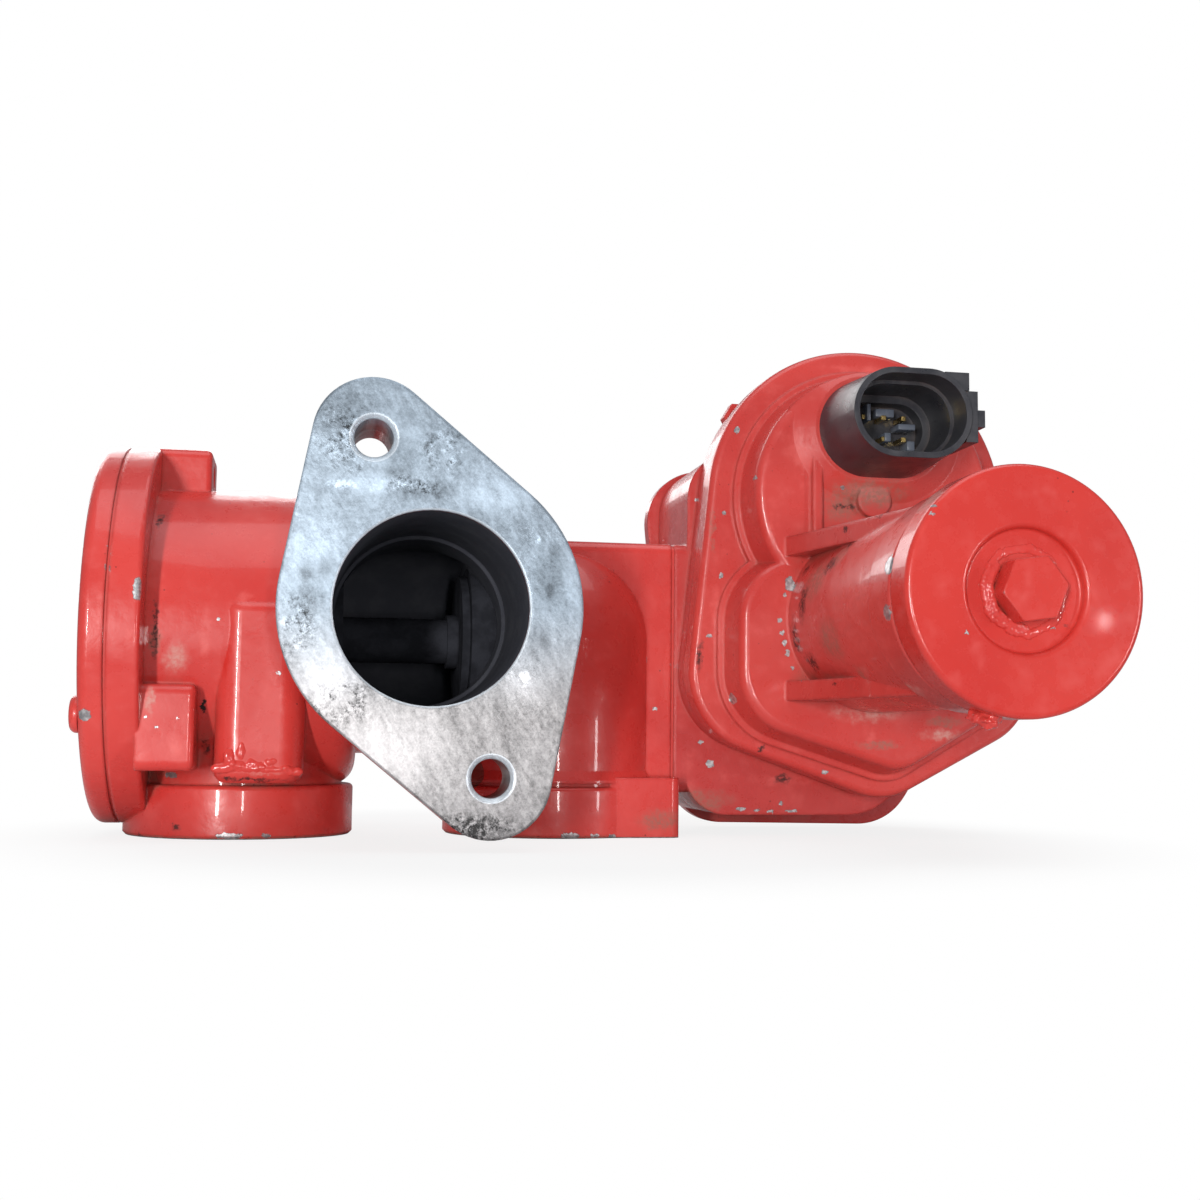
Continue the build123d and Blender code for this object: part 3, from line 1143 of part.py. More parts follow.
NODES = {
    "valve_body": make_body,
    "end_cover": make_end_cover,
    "end_cover_gasket": make_end_gasket,
    "end_cover_screws": make_end_screws,
    "left_seat": lambda: make_seat(LEFT_THROAT_R, LEFT_WALL_X),
    "right_seat": lambda: make_seat(RIGHT_THROAT_R, RIGHT_WALL_X),
    "left_poppet": lambda: make_poppet(LEFT_THROAT_R, LEFT_WALL_X),
    "right_poppet": lambda: make_poppet(RIGHT_THROAT_R, RIGHT_WALL_X),
    "stem": make_stem,
    "poppet_spacer": make_spacer,
    "poppet_collar": make_collar,
    "stem_nut": make_stem_nut,
    "cover_guide_bush": lambda: make_bush(END_X1 + END_BOSS_L - BUSH_L, END_X1 + END_BOSS_L),
    "body_guide_bush": lambda: make_bush(GUIDE_X1 - BUSH_L, GUIDE_X1),
    "stem_seal": make_stem_seal,
    "return_spring": make_spring,
    "spring_washer": make_washer,
    "spring_retainer": make_retainer,
    "yoke": make_yoke,
    "drive_pin": make_drive_pin,
    "cam_roller": make_roller,
    "output_gear": make_output_gear,
    "position_magnet": magnet_solid,
    "output_bush": make_output_bush,
    "output_pin": make_output_pin,
    "idler_gear": make_idler,
    "idler_pin": make_idler_pin,
    "gear_housing": make_housing,
    "housing_gasket": make_housing_gasket,
    "housing_screws": make_housing_screws,
    "rear_cover": make_rear_cover,
    "rear_cover_gasket": make_rear_gasket,
    "long_screws": make_long_screws,
    "short_screws": make_short_screws,
    "cover_seal": make_cover_seal,
    "gear_cover": make_gear_cover,
    "motor_can": make_can,
    "motor_magnets": make_magnets,
    "motor_core": make_core,
    "motor_windings": make_windings,
    "motor_commutator": make_commutator,
    "motor_shaft": make_shaft,
    "motor_pinion": make_pinion,
    "cap_end_bearing": lambda: make_bearing(CAN_Y0),
    "gear_end_bearing": lambda: make_bearing(DOME_Y + DOME_WALL - BEARING_W - 0.4),
    "brush_plate": make_brush_plate,
    "brushes": make_brushes,
    "motor_cap": make_cap,
    "cap_plug": make_plug,
    "cap_seal": make_cap_seal,
    "connector_shell": make_connector,
    "connector_terminals": make_terminals,
    "connector_seal": make_connector_seal,
    "gear_clip": make_clip,
    "sensor_board": make_sensor_board,
}

os.makedirs("parts", exist_ok=True)
for name, make in NODES.items():
    part = make()
    part.label = name
    export_step(part, f"parts/{name}.step")
    print(name, round(part.volume, 1), len(part.solids()))
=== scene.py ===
import json
import math
import bpy
import bmesh
from mathutils import Matrix, Vector, noise

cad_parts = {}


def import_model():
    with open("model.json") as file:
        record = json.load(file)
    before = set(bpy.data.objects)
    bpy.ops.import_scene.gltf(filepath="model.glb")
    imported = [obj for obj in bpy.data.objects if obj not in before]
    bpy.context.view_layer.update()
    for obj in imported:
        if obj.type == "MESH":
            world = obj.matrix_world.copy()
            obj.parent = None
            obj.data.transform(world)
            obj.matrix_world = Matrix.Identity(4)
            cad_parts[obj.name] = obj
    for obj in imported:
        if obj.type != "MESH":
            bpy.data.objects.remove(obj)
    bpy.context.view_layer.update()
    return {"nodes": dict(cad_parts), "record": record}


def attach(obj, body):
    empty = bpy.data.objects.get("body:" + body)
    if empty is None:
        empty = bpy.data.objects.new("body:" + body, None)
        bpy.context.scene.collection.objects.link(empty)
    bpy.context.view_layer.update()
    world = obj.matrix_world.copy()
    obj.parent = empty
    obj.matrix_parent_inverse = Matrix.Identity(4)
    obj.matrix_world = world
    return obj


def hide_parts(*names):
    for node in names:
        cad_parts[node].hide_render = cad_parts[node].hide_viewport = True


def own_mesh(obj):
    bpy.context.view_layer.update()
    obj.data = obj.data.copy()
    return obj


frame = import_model()

MM = 0.001


def in_mm(metres):
    return [value / MM for value in metres]


# ------------------------------------------------------------------ places and sizes from the frame, in mm
MOUNTS = {mount["name"]: mount for mount in frame["record"]["mounts"]}
JOINTS = {joint["name"]: joint for joint in frame["record"]["behaviour"]["joints"]}
MOTOR_X, _, MOTOR_Z = in_mm(JOINTS["motor_turn"]["pos_m"])
LEFT_X, STEM_Y, FOOT_Z = in_mm(MOUNTS["left_outlet"]["pos_m"])
RIGHT_X, _, _ = in_mm(MOUNTS["right_outlet"]["pos_m"])
_, _, STEM_Z = in_mm(JOINTS["roller_spin"]["pos_m"])
BORE_R = MOUNTS["inlet"]["dims"]["r_mm"]
OUTLET_R = MOUNTS["left_outlet"]["dims"]["r_mm"]
BOLT_R = MOUNTS["inlet_bolts"]["dims"]["hole_r_mm"]
BOLT_OUT = MOUNTS["inlet_bolts"]["dims"]["pcd_mm"] / 2

# the flange's two holes lean from upright, one at the top left and one at the bottom right
BOLT_LEAN = math.radians(20)
BOLT_TOP = (-BOLT_OUT * math.sin(BOLT_LEAN), BOLT_OUT * math.cos(BOLT_LEAN))
BOLT_HOLES = (BOLT_TOP, (-BOLT_TOP[0], -BOLT_TOP[1]))

# rooms along the stem: first x, last x and radius, with the radius of the right room's round end
ROOMS = ((-76.0, -26.0, 34.0), (-30.0, 24.0, 26.2), (20.0, 40.0, 23.0))
ROOM_END_R = 23.0

# ------------------------------------------------------------------ the photograph's camera
PHOTO_SIZE = 1200
LENS = 45.0
SENSOR = 36.0
PIXELS = LENS / SENSOR * PHOTO_SIZE
CAM_AT = Vector((-26.63, -341.85, -29.24)) * MM
CAM_RIGHT = Vector((0.981906, -0.189082, 0.010397))
CAM_UP = Vector((-0.027493, -0.088021, 0.995739))
CAM_BACK = CAM_RIGHT.cross(CAM_UP)

# ------------------------------------------------------------------ colours
WHITE = (1.0, 1.0, 1.0)
RED = (0.670, 0.060, 0.050)
CAP_RED = (0.640, 0.044, 0.034)
COVER_RED = (0.620, 0.064, 0.054)
REAR_RED = (0.560, 0.058, 0.052)
# Light red of paler paint, of thin paint on open edges, and of the painted highlight marks.
RED_LIGHT = (0.760, 0.130, 0.115)
WET_RED = (0.60, 0.030, 0.022)
DEEPER = (0.90, 0.76, 0.78)
DUST = (0.36, 0.130, 0.098)
PALE_DUST = (0.64, 0.37, 0.32)
# Near-black of grime specks and smudges, and of painted shadow lines.
GRIME_AND_SHADE = (0.030, 0.012, 0.010)
# Black of the painted shade in a hole.
HOLE_SHADE_BLACK = (0.006, 0.004, 0.004)
CHIP_DARK = (0.30, 0.30, 0.31)
CHIP_LIGHT = (0.66, 0.66, 0.66)
SOOT = (0.062, 0.065, 0.080)
SOOT_PALE = (0.080, 0.083, 0.098)
# Painted reflection tints of the flange face: bluish at the top, warm at the bottom.
FACE_COOL_REFLECTION = (0.70, 0.85, 1.0)
FACE_WARM_REFLECTION = (1.0, 0.975, 0.985)
# Painted highlight on the chamfers round the bore and the bolt holes.
RIM_HIGHLIGHT = (0.80, 0.88, 0.95)
PIT = (0.045, 0.042, 0.045)
RUST = (0.13, 0.065, 0.050)
# Darker colour in the corners of the bare metal parts.
METAL_CORNER_DARK = (0.05, 0.04, 0.035)
PLASTIC_DIRT = (0.22, 0.15, 0.11)
# Grey-blue of the keys in the plug socket, lighter than the black shell: painted sheen.
SOCKET_SHEEN_GREY = (0.12, 0.14, 0.18)


# ------------------------------------------------------------------ node helper
class Tree:
    """Small builder for a material's nodes: numbers, colours and sockets mix freely."""

    def __init__(self, name):
        self.mat = bpy.data.materials.new(name)
        self.mat.use_nodes = True
        self.nodes = self.mat.node_tree.nodes
        self.links = self.mat.node_tree.links
        self.nodes.clear()
        self.out = self.nodes.new("ShaderNodeOutputMaterial")
        self.where = self.nodes.new("ShaderNodeTexCoord").outputs["Object"]
        self.pos = None

    def put(self, socket, value):
        if isinstance(value, bpy.types.NodeSocket):
            self.links.new(value, socket)
        elif hasattr(socket.default_value, "__len__") and not hasattr(value, "__len__"):
            socket.default_value = [value] * len(socket.default_value)
        elif hasattr(socket.default_value, "__len__") and len(socket.default_value) == 4 and len(value) == 3:
            socket.default_value = (*value, 1.0)
        else:
            socket.default_value = value

    def math(self, op, a, b=0.0, clamp=False):
        node = self.nodes.new("ShaderNodeMath")
        node.operation = op
        node.use_clamp = clamp
        self.put(node.inputs[0], a)
        self.put(node.inputs[1], b)
        return node.outputs[0]

    def chain(self, op, values):
        total = values[0]
        for value in values[1:]:
            total = self.math(op, total, value)
        return total

    def plus(self, *values):
        return self.chain("ADD", values)

    def times(self, *values):
        return self.chain("MULTIPLY", values)

    def most(self, *values):
        return self.chain("MAXIMUM", values)

    def minus(self, a, b):
        return self.math("SUBTRACT", a, b)

    def swing(self, value, reach):
        """Noise moved to lie evenly round 0, times reach."""
        return self.times(self.minus(value, 0.5), reach)

    def vmath(self, op, a, b=(0, 0, 0), scale=None):
        node = self.nodes.new("ShaderNodeVectorMath")
        node.operation = op
        self.put(node.inputs[0], a)
        self.put(node.inputs[1], b)
        if scale is not None:
            self.put(node.inputs["Scale"], scale)
        return node.outputs["Value" if op in ("LENGTH", "DOT_PRODUCT") else "Vector"]

    def axes(self):
        if self.pos is None:
            node = self.nodes.new("ShaderNodeSeparateXYZ")
            self.put(node.inputs[0], self.where)
            self.pos = node.outputs
        return self.pos

    def scaled(self, sx, sy, sz):
        node = self.nodes.new("ShaderNodeMapping")
        self.put(node.inputs["Vector"], self.where)
        node.inputs["Scale"].default_value = (sx, sy, sz)
        return node.outputs[0]

    def noise(self, scale, detail=3.0, rough=0.55, at=None, distortion=0.0, colour=False):
        node = self.nodes.new("ShaderNodeTexNoise")
        self.put(node.inputs["Vector"], self.where if at is None else at)
        node.inputs["Scale"].default_value = scale
        node.inputs["Detail"].default_value = detail
        node.inputs["Roughness"].default_value = rough
        node.inputs["Distortion"].default_value = distortion
        return node.outputs["Color" if colour else "Fac"]

    def warp(self, scale, detail, rough, reach):
        """The place, pushed about by noise."""
        push = self.vmath("SUBTRACT", self.noise(scale, detail, rough, colour=True), (0.5, 0.5, 0.5))
        return self.vmath("ADD", self.where, self.vmath("SCALE", push, scale=reach))

    def cells(self, scale):
        node = self.nodes.new("ShaderNodeTexVoronoi")
        self.put(node.inputs["Vector"], self.where)
        node.inputs["Scale"].default_value = scale
        return node.outputs["Distance"]

    def strokes(self, degrees, across, along, seed=0.0):
        """Noise drawn out along a line in the XZ plane, leaning by degrees from vertical."""
        px, _, pz = self.axes()
        c, s = math.cos(math.radians(degrees)), math.sin(math.radians(degrees))
        u = self.plus(self.times(px, c), self.times(pz, -s))
        v = self.plus(self.times(px, s), self.times(pz, c))
        node = self.nodes.new("ShaderNodeCombineXYZ")
        self.put(node.inputs[0], self.times(u, across))
        self.put(node.inputs[1], seed)
        self.put(node.inputs[2], self.times(v, along))
        return self.noise(1.0, 3.0, 0.6, at=node.outputs[0])

    def span(self, value, a, b, lo=0.0, hi=1.0, smooth=True):
        """Value remapped from a..b to lo..hi, clamped."""
        node = self.nodes.new("ShaderNodeMapRange")
        node.interpolation_type = "SMOOTHSTEP" if smooth else "LINEAR"
        node.clamp = True
        names = ("Value", "From Min", "From Max", "To Min", "To Max")
        for name, given in zip(names, (value, a, b, lo, hi)):
            self.put(node.inputs[name], given)
        return node.outputs[0]

    def ramp(self, value, start, end):
        """0 at start and 1 at end, both in mm."""
        return self.span(value, start * MM, end * MM)

    def near(self, place, edge, at=None):
        """1 inside an ellipsoid, given as its centre and half axes in mm, and 0 outside."""
        x, y, z, rx, ry, rz = place
        moved = self.vmath("SUBTRACT", self.where if at is None else at, (x * MM, y * MM, z * MM))
        shaped = self.vmath("MULTIPLY", moved, (1 / (rx * MM), 1 / (ry * MM), 1 / (rz * MM)))
        return self.span(self.vmath("LENGTH", shaped), 1.0, 1.0 - edge)

    def from_line(self, u, v, at_u, at_v):
        """Distance from the line, square to the axes u and v, that crosses them at a place in mm."""
        du = self.minus(u, at_u * MM)
        dv = self.minus(v, at_v * MM)
        return self.math("SQRT", self.plus(self.times(du, du), self.times(dv, dv)))

    def disc(self, x, z, r, edge=0.15):
        """1 within r of the line through (x, z) along Y, in mm."""
        px, _, pz = self.axes()
        return self.ramp(self.from_line(px, pz, x, z), r + edge, r - edge)

    def mix(self, fac, a, b, blend="MIX"):
        node = self.nodes.new("ShaderNodeMix")
        node.data_type = "RGBA"
        node.blend_type = blend
        self.put(node.inputs["Factor"], fac)
        self.put(node.inputs[6], a)
        self.put(node.inputs[7], b)
        return node.outputs[2]

    def lerp(self, fac, a, b):
        node = self.nodes.new("ShaderNodeMix")
        node.data_type = "FLOAT"
        self.put(node.inputs[0], fac)
        self.put(node.inputs[2], a)
        self.put(node.inputs[3], b)
        return node.outputs[0]

    def grey(self, value):
        node = self.nodes.new("ShaderNodeCombineColor")
        for socket in node.inputs:
            self.put(socket, value)
        return node.outputs[0]

    def bevel(self, radius, samples):
        node = self.nodes.new("ShaderNodeBevel")
        node.samples = samples
        node.inputs["Radius"].default_value = radius * MM
        return node.outputs[0]

    def soft_edges(self, radius):
        """Rounded normal at real edges only, with how far it leans from the plain one."""
        round_normal = self.bevel(radius, 8)
        plain = self.nodes.new("ShaderNodeNewGeometry").outputs["Normal"]
        lean = self.minus(1.0, self.vmath("DOT_PRODUCT", round_normal, plain))
        node = self.nodes.new("ShaderNodeMix")
        node.data_type = "VECTOR"
        self.put(node.inputs[0], self.span(lean, 0.010, 0.045))
        self.put(node.inputs[4], plain)
        self.put(node.inputs[5], round_normal)
        return self.vmath("NORMALIZE", node.outputs[1]), lean

    def bump(self, height, strength, distance, normal=None):
        """Normal bent by height, whose full swing is distance in mm."""
        node = self.nodes.new("ShaderNodeBump")
        node.inputs["Strength"].default_value = strength
        node.inputs["Distance"].default_value = distance * MM
        self.put(node.inputs["Height"], height)
        if normal is not None:
            self.put(node.inputs["Normal"], normal)
        return node.outputs[0]

    def hollow(self, distance):
        """1 in corners, 0 in the open, with walls looked for as far as distance in mm."""
        node = self.nodes.new("ShaderNodeAmbientOcclusion")
        node.samples = 6
        node.inputs["Distance"].default_value = distance * MM
        return self.minus(1.0, node.outputs["AO"])

    def finish(self, colour, rough, metal=0.0, normal=None, coat=0.0, coat_rough=0.1, spec=0.5):
        shader = self.nodes.new("ShaderNodeBsdfPrincipled")
        self.put(shader.inputs["Base Color"], colour)
        self.put(shader.inputs["Roughness"], rough)
        self.put(shader.inputs["Metallic"], metal)
        self.put(shader.inputs["Specular IOR Level"], spec)
        self.put(shader.inputs["Coat Weight"], coat)
        shader.inputs["Coat Roughness"].default_value = coat_rough
        if normal is not None:
            self.put(shader.inputs["Normal"], normal)
        self.links.new(shader.outputs[0], self.out.inputs["Surface"])
        return self.mat


# ------------------------------------------------------------------ paint
COAT = 0.30
COAT_ROUGH = 0.05
PAINT_SPEC = 0.35

# kind: softness of its edge, colour, strength, whether it dulls the gloss, and the spans of the
# middle and of the fine noise that break it up
MARK_LOOKS = {
    # The first kind paints highlights and sheen in light red, and leaves the gloss as it is.
    "painted_sheen": (0.90, RED_LIGHT, 1.0, False, (0.36, 0.66, 0.10, 0.62), None),
    "pale": (0.85, PALE_DUST, 1.0, True, (0.36, 0.62, 0.12, 0.80), (0.30, 0.60, 0.45, 1.0)),
    "brown": (0.70, DUST, 1.0, True, (0.30, 0.58, 0.30, 0.92), (0.30, 0.62, 0.30, 1.0)),
    "wet": (0.50, WET_RED, 0.8, False, None, None),
    # This kind paints near-black grime and painted shadow lines.
    "smudges_and_shade": (0.75, GRIME_AND_SHADE, 1.0, True, None, (0.38, 0.56, 0.25, 0.92)),
    # This kind paints the shade of a hole black.
    "hole_shade": (0.30, HOLE_SHADE_BLACK, 1.0, True, None, None),
}


def enamel(t, middle, fine, corner, tone, dust):
    """Colour of the paint with dirt in its corners, and the mask of that dirt."""
    deep = tuple(part * share for part, share in zip(tone, DEEPER))
    colour = t.mix(t.span(t.noise(30.0, 2.0, 0.5), 0.30, 0.66), deep, tone)
    colour = t.mix(t.span(middle, 0.52, 0.80, 0.0, 0.30), colour, RED_LIGHT)
    dirt = t.times(t.span(corner, 0.38, 0.90), t.span(middle, 0.34, 0.60, 0.15, 1.0))
    dirt = t.math("MULTIPLY", dirt, dust, clamp=True)
    colour = t.mix(t.times(dirt, 0.72), colour, DUST)
    grit = t.times(t.span(fine, 0.60, 0.70), t.span(corner, 0.45, 0.85))
    colour = t.mix(t.times(grit, 0.7 * dust), colour, GRIME_AND_SHADE)
    speck = t.times(t.span(t.cells(330.0), 0.10, 0.04), t.span(t.noise(60.0, 2.0), 0.55, 0.64))
    return t.mix(t.times(speck, 0.7), colour, GRIME_AND_SHADE), dirt


def marked(t, middle, fine, colour, dusty, marks):
    """The colour with its marks on it, and the mask of what is dull grown by them."""
    warped = t.warp(460.0, 3.0, 0.65, 4.0 * MM)
    for kind, (edge, tone, strength, dull, by_middle, by_fine) in MARK_LOOKS.items():
        share = strength
        for pattern, limits in ((middle, by_middle), (fine, by_fine)):
            if limits is not None:
                share = t.times(share, t.span(pattern, *limits))
        for place in marks.get(kind, ()):
            mask = t.times(t.near(place, edge, warped), share)
            colour = t.mix(mask, colour, tone)
            if dull:
                dusty = t.most(dusty, mask)
    return colour, dusty


def chipped(t, corner, lean, chips):
    """Masks of the bare metal, of the flakes that are part of it, and of thin paint on open edges."""
    open_edge = t.times(t.span(lean, 0.05, 0.15), t.span(corner, 0.42, 0.24))
    patchy = t.noise(120.0, 5.0, 0.72)
    worn = t.times(open_edge, t.span(patchy, 0.653, 0.685))
    thin = t.times(open_edge, t.span(patchy, 0.50, 0.62, 0.0, 0.55))
    jagged = t.warp(900.0, 4.0, 0.7, 2.2 * MM)
    flakes = t.times(t.span(t.cells(105.0), 0.050, 0.034), t.span(t.noise(33.0, 1.0), 0.61, 0.64))
    for place in chips:
        flakes = t.most(flakes, t.near(place, 0.12, jagged))
    return t.most(worn, flakes), flakes, thin


def paint_parts(t, marks, tone=RED, dust=1.0, bevel=1.1, rough=0.30, grain=1.0):
    """Sockets of worn engine enamel: colour, roughness, metal and normal. Bevel is in mm."""
    middle = t.noise(190.0, 4.0, 0.62)
    fine = t.noise(1000.0, 3.0, 0.6)
    corner = t.hollow(7.0)
    normal, lean = t.soft_edges(bevel)
    colour, dirt = enamel(t, middle, fine, corner, tone, dust)
    colour, dusty = marked(t, middle, fine, colour, dirt, marks)
    bare, flakes, thin = chipped(t, corner, lean, marks.get("chips", ()))
    colour = t.mix(thin, colour, RED_LIGHT)
    colour = t.mix(bare, colour, t.mix(t.span(fine, 0.35, 0.7), CHIP_DARK, CHIP_LIGHT))
    ring = t.times(t.span(flakes, 0.02, 0.35), t.span(flakes, 0.95, 0.5))
    colour = t.mix(t.times(ring, 0.5), colour, GRIME_AND_SHADE)
    gloss = t.lerp(t.span(middle, 0.35, 0.7), rough - 0.04, rough + 0.10)
    gloss = t.lerp(dusty, gloss, 0.72)
    gloss = t.lerp(bare, gloss, 0.40)
    swell = t.noise(95.0, 2.0, 0.5)
    height = t.plus(t.times(swell, 0.30), t.times(middle, 0.16), t.times(fine, 0.045))
    lumpy = t.bump(height, 0.42 * grain, 1.3, normal)
    bumped = t.bump(t.minus(1.0, bare), 0.5, 0.2, lumpy)
    return colour, gloss, t.times(bare, 0.75), bumped


def paint(name, marks, **given):
    t = Tree(name)
    colour, gloss, bare, normal = paint_parts(t, marks, **given)
    return t.finish(colour, gloss, bare, normal, coat=COAT, coat_rough=COAT_ROUGH, spec=PAINT_SPEC)


# ------------------------------------------------------------------ valve body: bare flange face and soot
# places on the flange face: x, z, half width and half height in mm
# Lighter patches: painted light where the lamps shine brightest on the face, chiefly the large one low on
# the left, and wiped metal.
LIT_AND_WIPED_PATCHES = (
    (-10.0, -31.0, 20.0, 13.0), (-24.0, -17.0, 10.0, 12.0), (21.0, -17.0, 8.0, 9.0),
    (-15.0, 28.0, 14.0, 3.5), (14.0, 27.0, 12.0, 9.0), (-27.0, 14.0, 8.0, 11.0))
DULL_PATCHES = (
    (-20.0, 43.0, 9.0, 9.0), (11.0, -50.0, 15.0, 5.0), (27.0, 6.0, 6.0, 10.0),
    (-2.0, 27.0, 10.0, 4.0), (10.0, 21.0, 8.0, 5.0), (-28.0, 1.0, 6.0, 6.0))
ROUGH_ZONES = (
    (-20.0, 38.0, 12.0, 13.0), (-30.0, -5.0, 7.0, 12.0), (-20.0, -22.0, 13.0, 8.0),
    (10.0, -50.0, 17.0, 5.5), (-6.0, 28.0, 14.0, 4.0), (2.0, 36.0, 9.0, 9.0))
STAINS = (
    (26.0, -6.5, 2.2, 5.0), (27.0, 4.0, 1.8, 3.5), (-28.5, 7.0, 4.0, 2.5),
    (-24.0, 9.0, 3.0, 4.0), (28.0, 14.0, 2.5, 3.0), (-9.0, 31.0, 4.0, 2.0))
GLINTS = ((21.4, -15.8, 2.0, 2.6), (24.0, 16.5, 1.0, 1.3), (-21.0, 27.5, 4.5, 1.6))
FACE_Y = 0.0
FACE_REACH = 9.0


def face_masks(t, patches, edge):
    """One mask for each patch on the flange face."""
    return [t.near((x, FACE_Y, z, rx, FACE_REACH, rz), edge) for x, z, rx, rz in patches]


def face_tone(t, patch, mottle, fine, brush, low, zone):
    """Lightness of the flange face: wiped and brushed, with lighter patches of painted light and wiped
    metal, darker patches, darker towards the bottom, stains, and glints that are painted highlights.
    """
    tone = t.plus(0.47, t.swing(patch, 0.46))
    # Painted light and wiped metal: the lighter patches.
    for mask in face_masks(t, LIT_AND_WIPED_PATCHES, 0.95):
        tone = t.plus(tone, t.times(mask, 0.20))
    # Darker towards the bottom.
    tone = t.minus(tone, t.times(low, 0.17))
    for mask in face_masks(t, DULL_PATCHES, 0.9):
        tone = t.minus(tone, t.times(mask, 0.16))
    wiped = t.strokes(-6.0, 260.0, 45.0, seed=3.0)
    tone = t.plus(tone, t.swing(brush, 0.30), t.swing(wiped, 0.36), t.swing(fine, 0.36))
    tone = t.plus(tone, t.times(t.span(mottle, 0.36, 0.66, -0.62, 0.62, smooth=False), zone))
    for mask in face_masks(t, STAINS, 0.9):
        tone = t.minus(tone, t.times(mask, t.span(mottle, 0.40, 0.60, 0.35, 1.0), 0.26))
    for mask in face_masks(t, GLINTS, 0.9):
        tone = t.plus(tone, t.times(mask, t.span(mottle, 0.42, 0.58, 0.0, 0.8)))
    return t.most(t.math("MINIMUM", tone, 0.98), 0.035)


def machined_face(t):
    """Colour, roughness and scratch height of the bare flange face, worn, pitted and wiped by hand, with a
    painted reflection tint and painted light patches.
    """
    fine = t.noise(1700.0, 4.0, 0.75)
    brush = t.strokes(-34.0, 900.0, 90.0)
    patch = t.noise(110.0, 6.0, 0.72, distortion=1.2)
    mottle = t.noise(620.0, 6.0, 0.78)
    blotch = t.span(t.noise(210.0, 4.0, 0.7), 0.34, 0.60)
    zone = 0.14
    for mask in face_masks(t, ROUGH_ZONES, 0.95):
        zone = t.most(zone, t.times(mask, blotch))
    _, _, pz = t.axes()
    low = t.ramp(pz, 4.0, -26.0)
    tone = face_tone(t, patch, mottle, fine, brush, low, zone)
    # Painted reflection tint: bluish towards the top of the face and warm towards the bottom.
    colour = t.mix(1.0, t.mix(low, FACE_COOL_REFLECTION, FACE_WARM_REFLECTION), t.grey(tone), "MULTIPLY")
    pits = t.times(t.span(t.noise(640.0, 6.0, 0.85), 0.57, 0.62), t.span(zone, 0.2, 0.9))
    pits = t.most(pits, t.times(t.span(t.noise(520.0, 5.0, 0.8), 0.69, 0.73), 0.7))
    colour = t.mix(pits, colour, PIT)
    gloss = t.plus(0.30, t.times(t.span(patch, 0.3, 0.7), 0.14))
    gloss = t.lerp(pits, gloss, 0.8)
    height = t.plus(t.times(brush, 0.25), t.times(fine, 0.3), t.times(mottle, zone, 1.3))
    return colour, gloss, t.minus(height, t.times(pits, 0.6))


def soot_mask(t):
    """1 on the walls of the gas passages: the inlet, the rooms along the stem and the two outlets."""
    px, py, pz = t.axes()
    from_stem = t.from_line(py, pz, STEM_Y, STEM_Z)
    sooty = t.times(t.disc(0.0, 0.0, BORE_R + 0.7), t.ramp(py, 1.0, 1.6), t.ramp(py, STEM_Y, STEM_Y - 0.4))
    for first, last, r in ROOMS:
        along = t.times(t.ramp(px, first, first + 0.4), t.ramp(px, last, last - 0.4))
        sooty = t.most(sooty, t.times(along, t.ramp(from_stem, r + 0.2, r - 0.2)))
    for x in (LEFT_X, RIGHT_X):
        down = t.times(t.ramp(pz, FOOT_Z + 1.0, FOOT_Z + 1.5), t.ramp(pz, STEM_Z - 1.0, STEM_Z - 3.0))
        inside = t.ramp(t.from_line(px, py, x, STEM_Y), OUTLET_R + 0.3, OUTLET_R)
        sooty = t.most(sooty, t.times(inside, down))
    return t.most(sooty, t.near((RIGHT_X, STEM_Y, STEM_Z, ROOM_END_R, ROOM_END_R, ROOM_END_R), 0.02))


def body_material(marks):
    """Painted casting with a bare machined flange face, bare feet and sooty passages."""
    t = Tree("valve_body_paint")
    colour, gloss, metal, normal = paint_parts(t, marks, bevel=1.5)
    _, py, pz = t.axes()
    grey, face_gloss, height = machined_face(t)
    scraped = t.swing(t.noise(240.0, 4.0, 0.7), 1.1 * MM)
    face = t.ramp(t.plus(py, scraped), FACE_Y + 0.60, FACE_Y + 0.40)
    feet = t.ramp(pz, FOOT_Z + 0.35, FOOT_Z + 0.15)
    machined = t.most(face, feet)
    rim = t.times(t.disc(0.0, 0.0, BORE_R + 0.4), t.ramp(py, 1.3, 0.9))
    for x, z in BOLT_HOLES:
        rim = t.most(rim, t.times(t.disc(x, z, BOLT_R + 1.2, 0.1), t.ramp(py, 1.6, 1.2)))
        machined = t.most(machined, t.times(t.disc(x, z, BOLT_R + 1.2), t.ramp(py, 15.0, 12.0)))
    machined = t.most(machined, rim)
    # Painted highlight: the chamfer rings are lightened towards bluish white.
    colour = t.mix(machined, colour, t.mix(t.times(rim, 0.6), grey, RIM_HIGHLIGHT))
    metal = t.lerp(machined, metal, 0.50)
    gloss = t.lerp(machined, gloss, face_gloss)
    for x, z in BOLT_HOLES:
        deep = t.times(t.disc(x, z, BOLT_R + 0.3), t.ramp(py, 2.5, 10.5))
        colour = t.mix(t.times(deep, 0.8), colour, RUST)
    sooty = soot_mask(t)
    colour = t.mix(sooty, colour, t.mix(t.span(t.noise(140.0, 4.0), 0.4, 0.7), SOOT, SOOT_PALE))
    metal = t.lerp(sooty, metal, 0.0)
    gloss = t.lerp(sooty, gloss, 0.85)
    normal = t.bump(t.times(height, machined), 0.30, 0.22, normal)
    covered = t.minus(1.0, t.most(machined, sooty))
    coat = t.times(covered, COAT)
    spec = t.lerp(sooty, PAINT_SPEC, 0.12)
    return t.finish(colour, gloss, metal, normal, coat=coat, coat_rough=COAT_ROUGH, spec=spec)


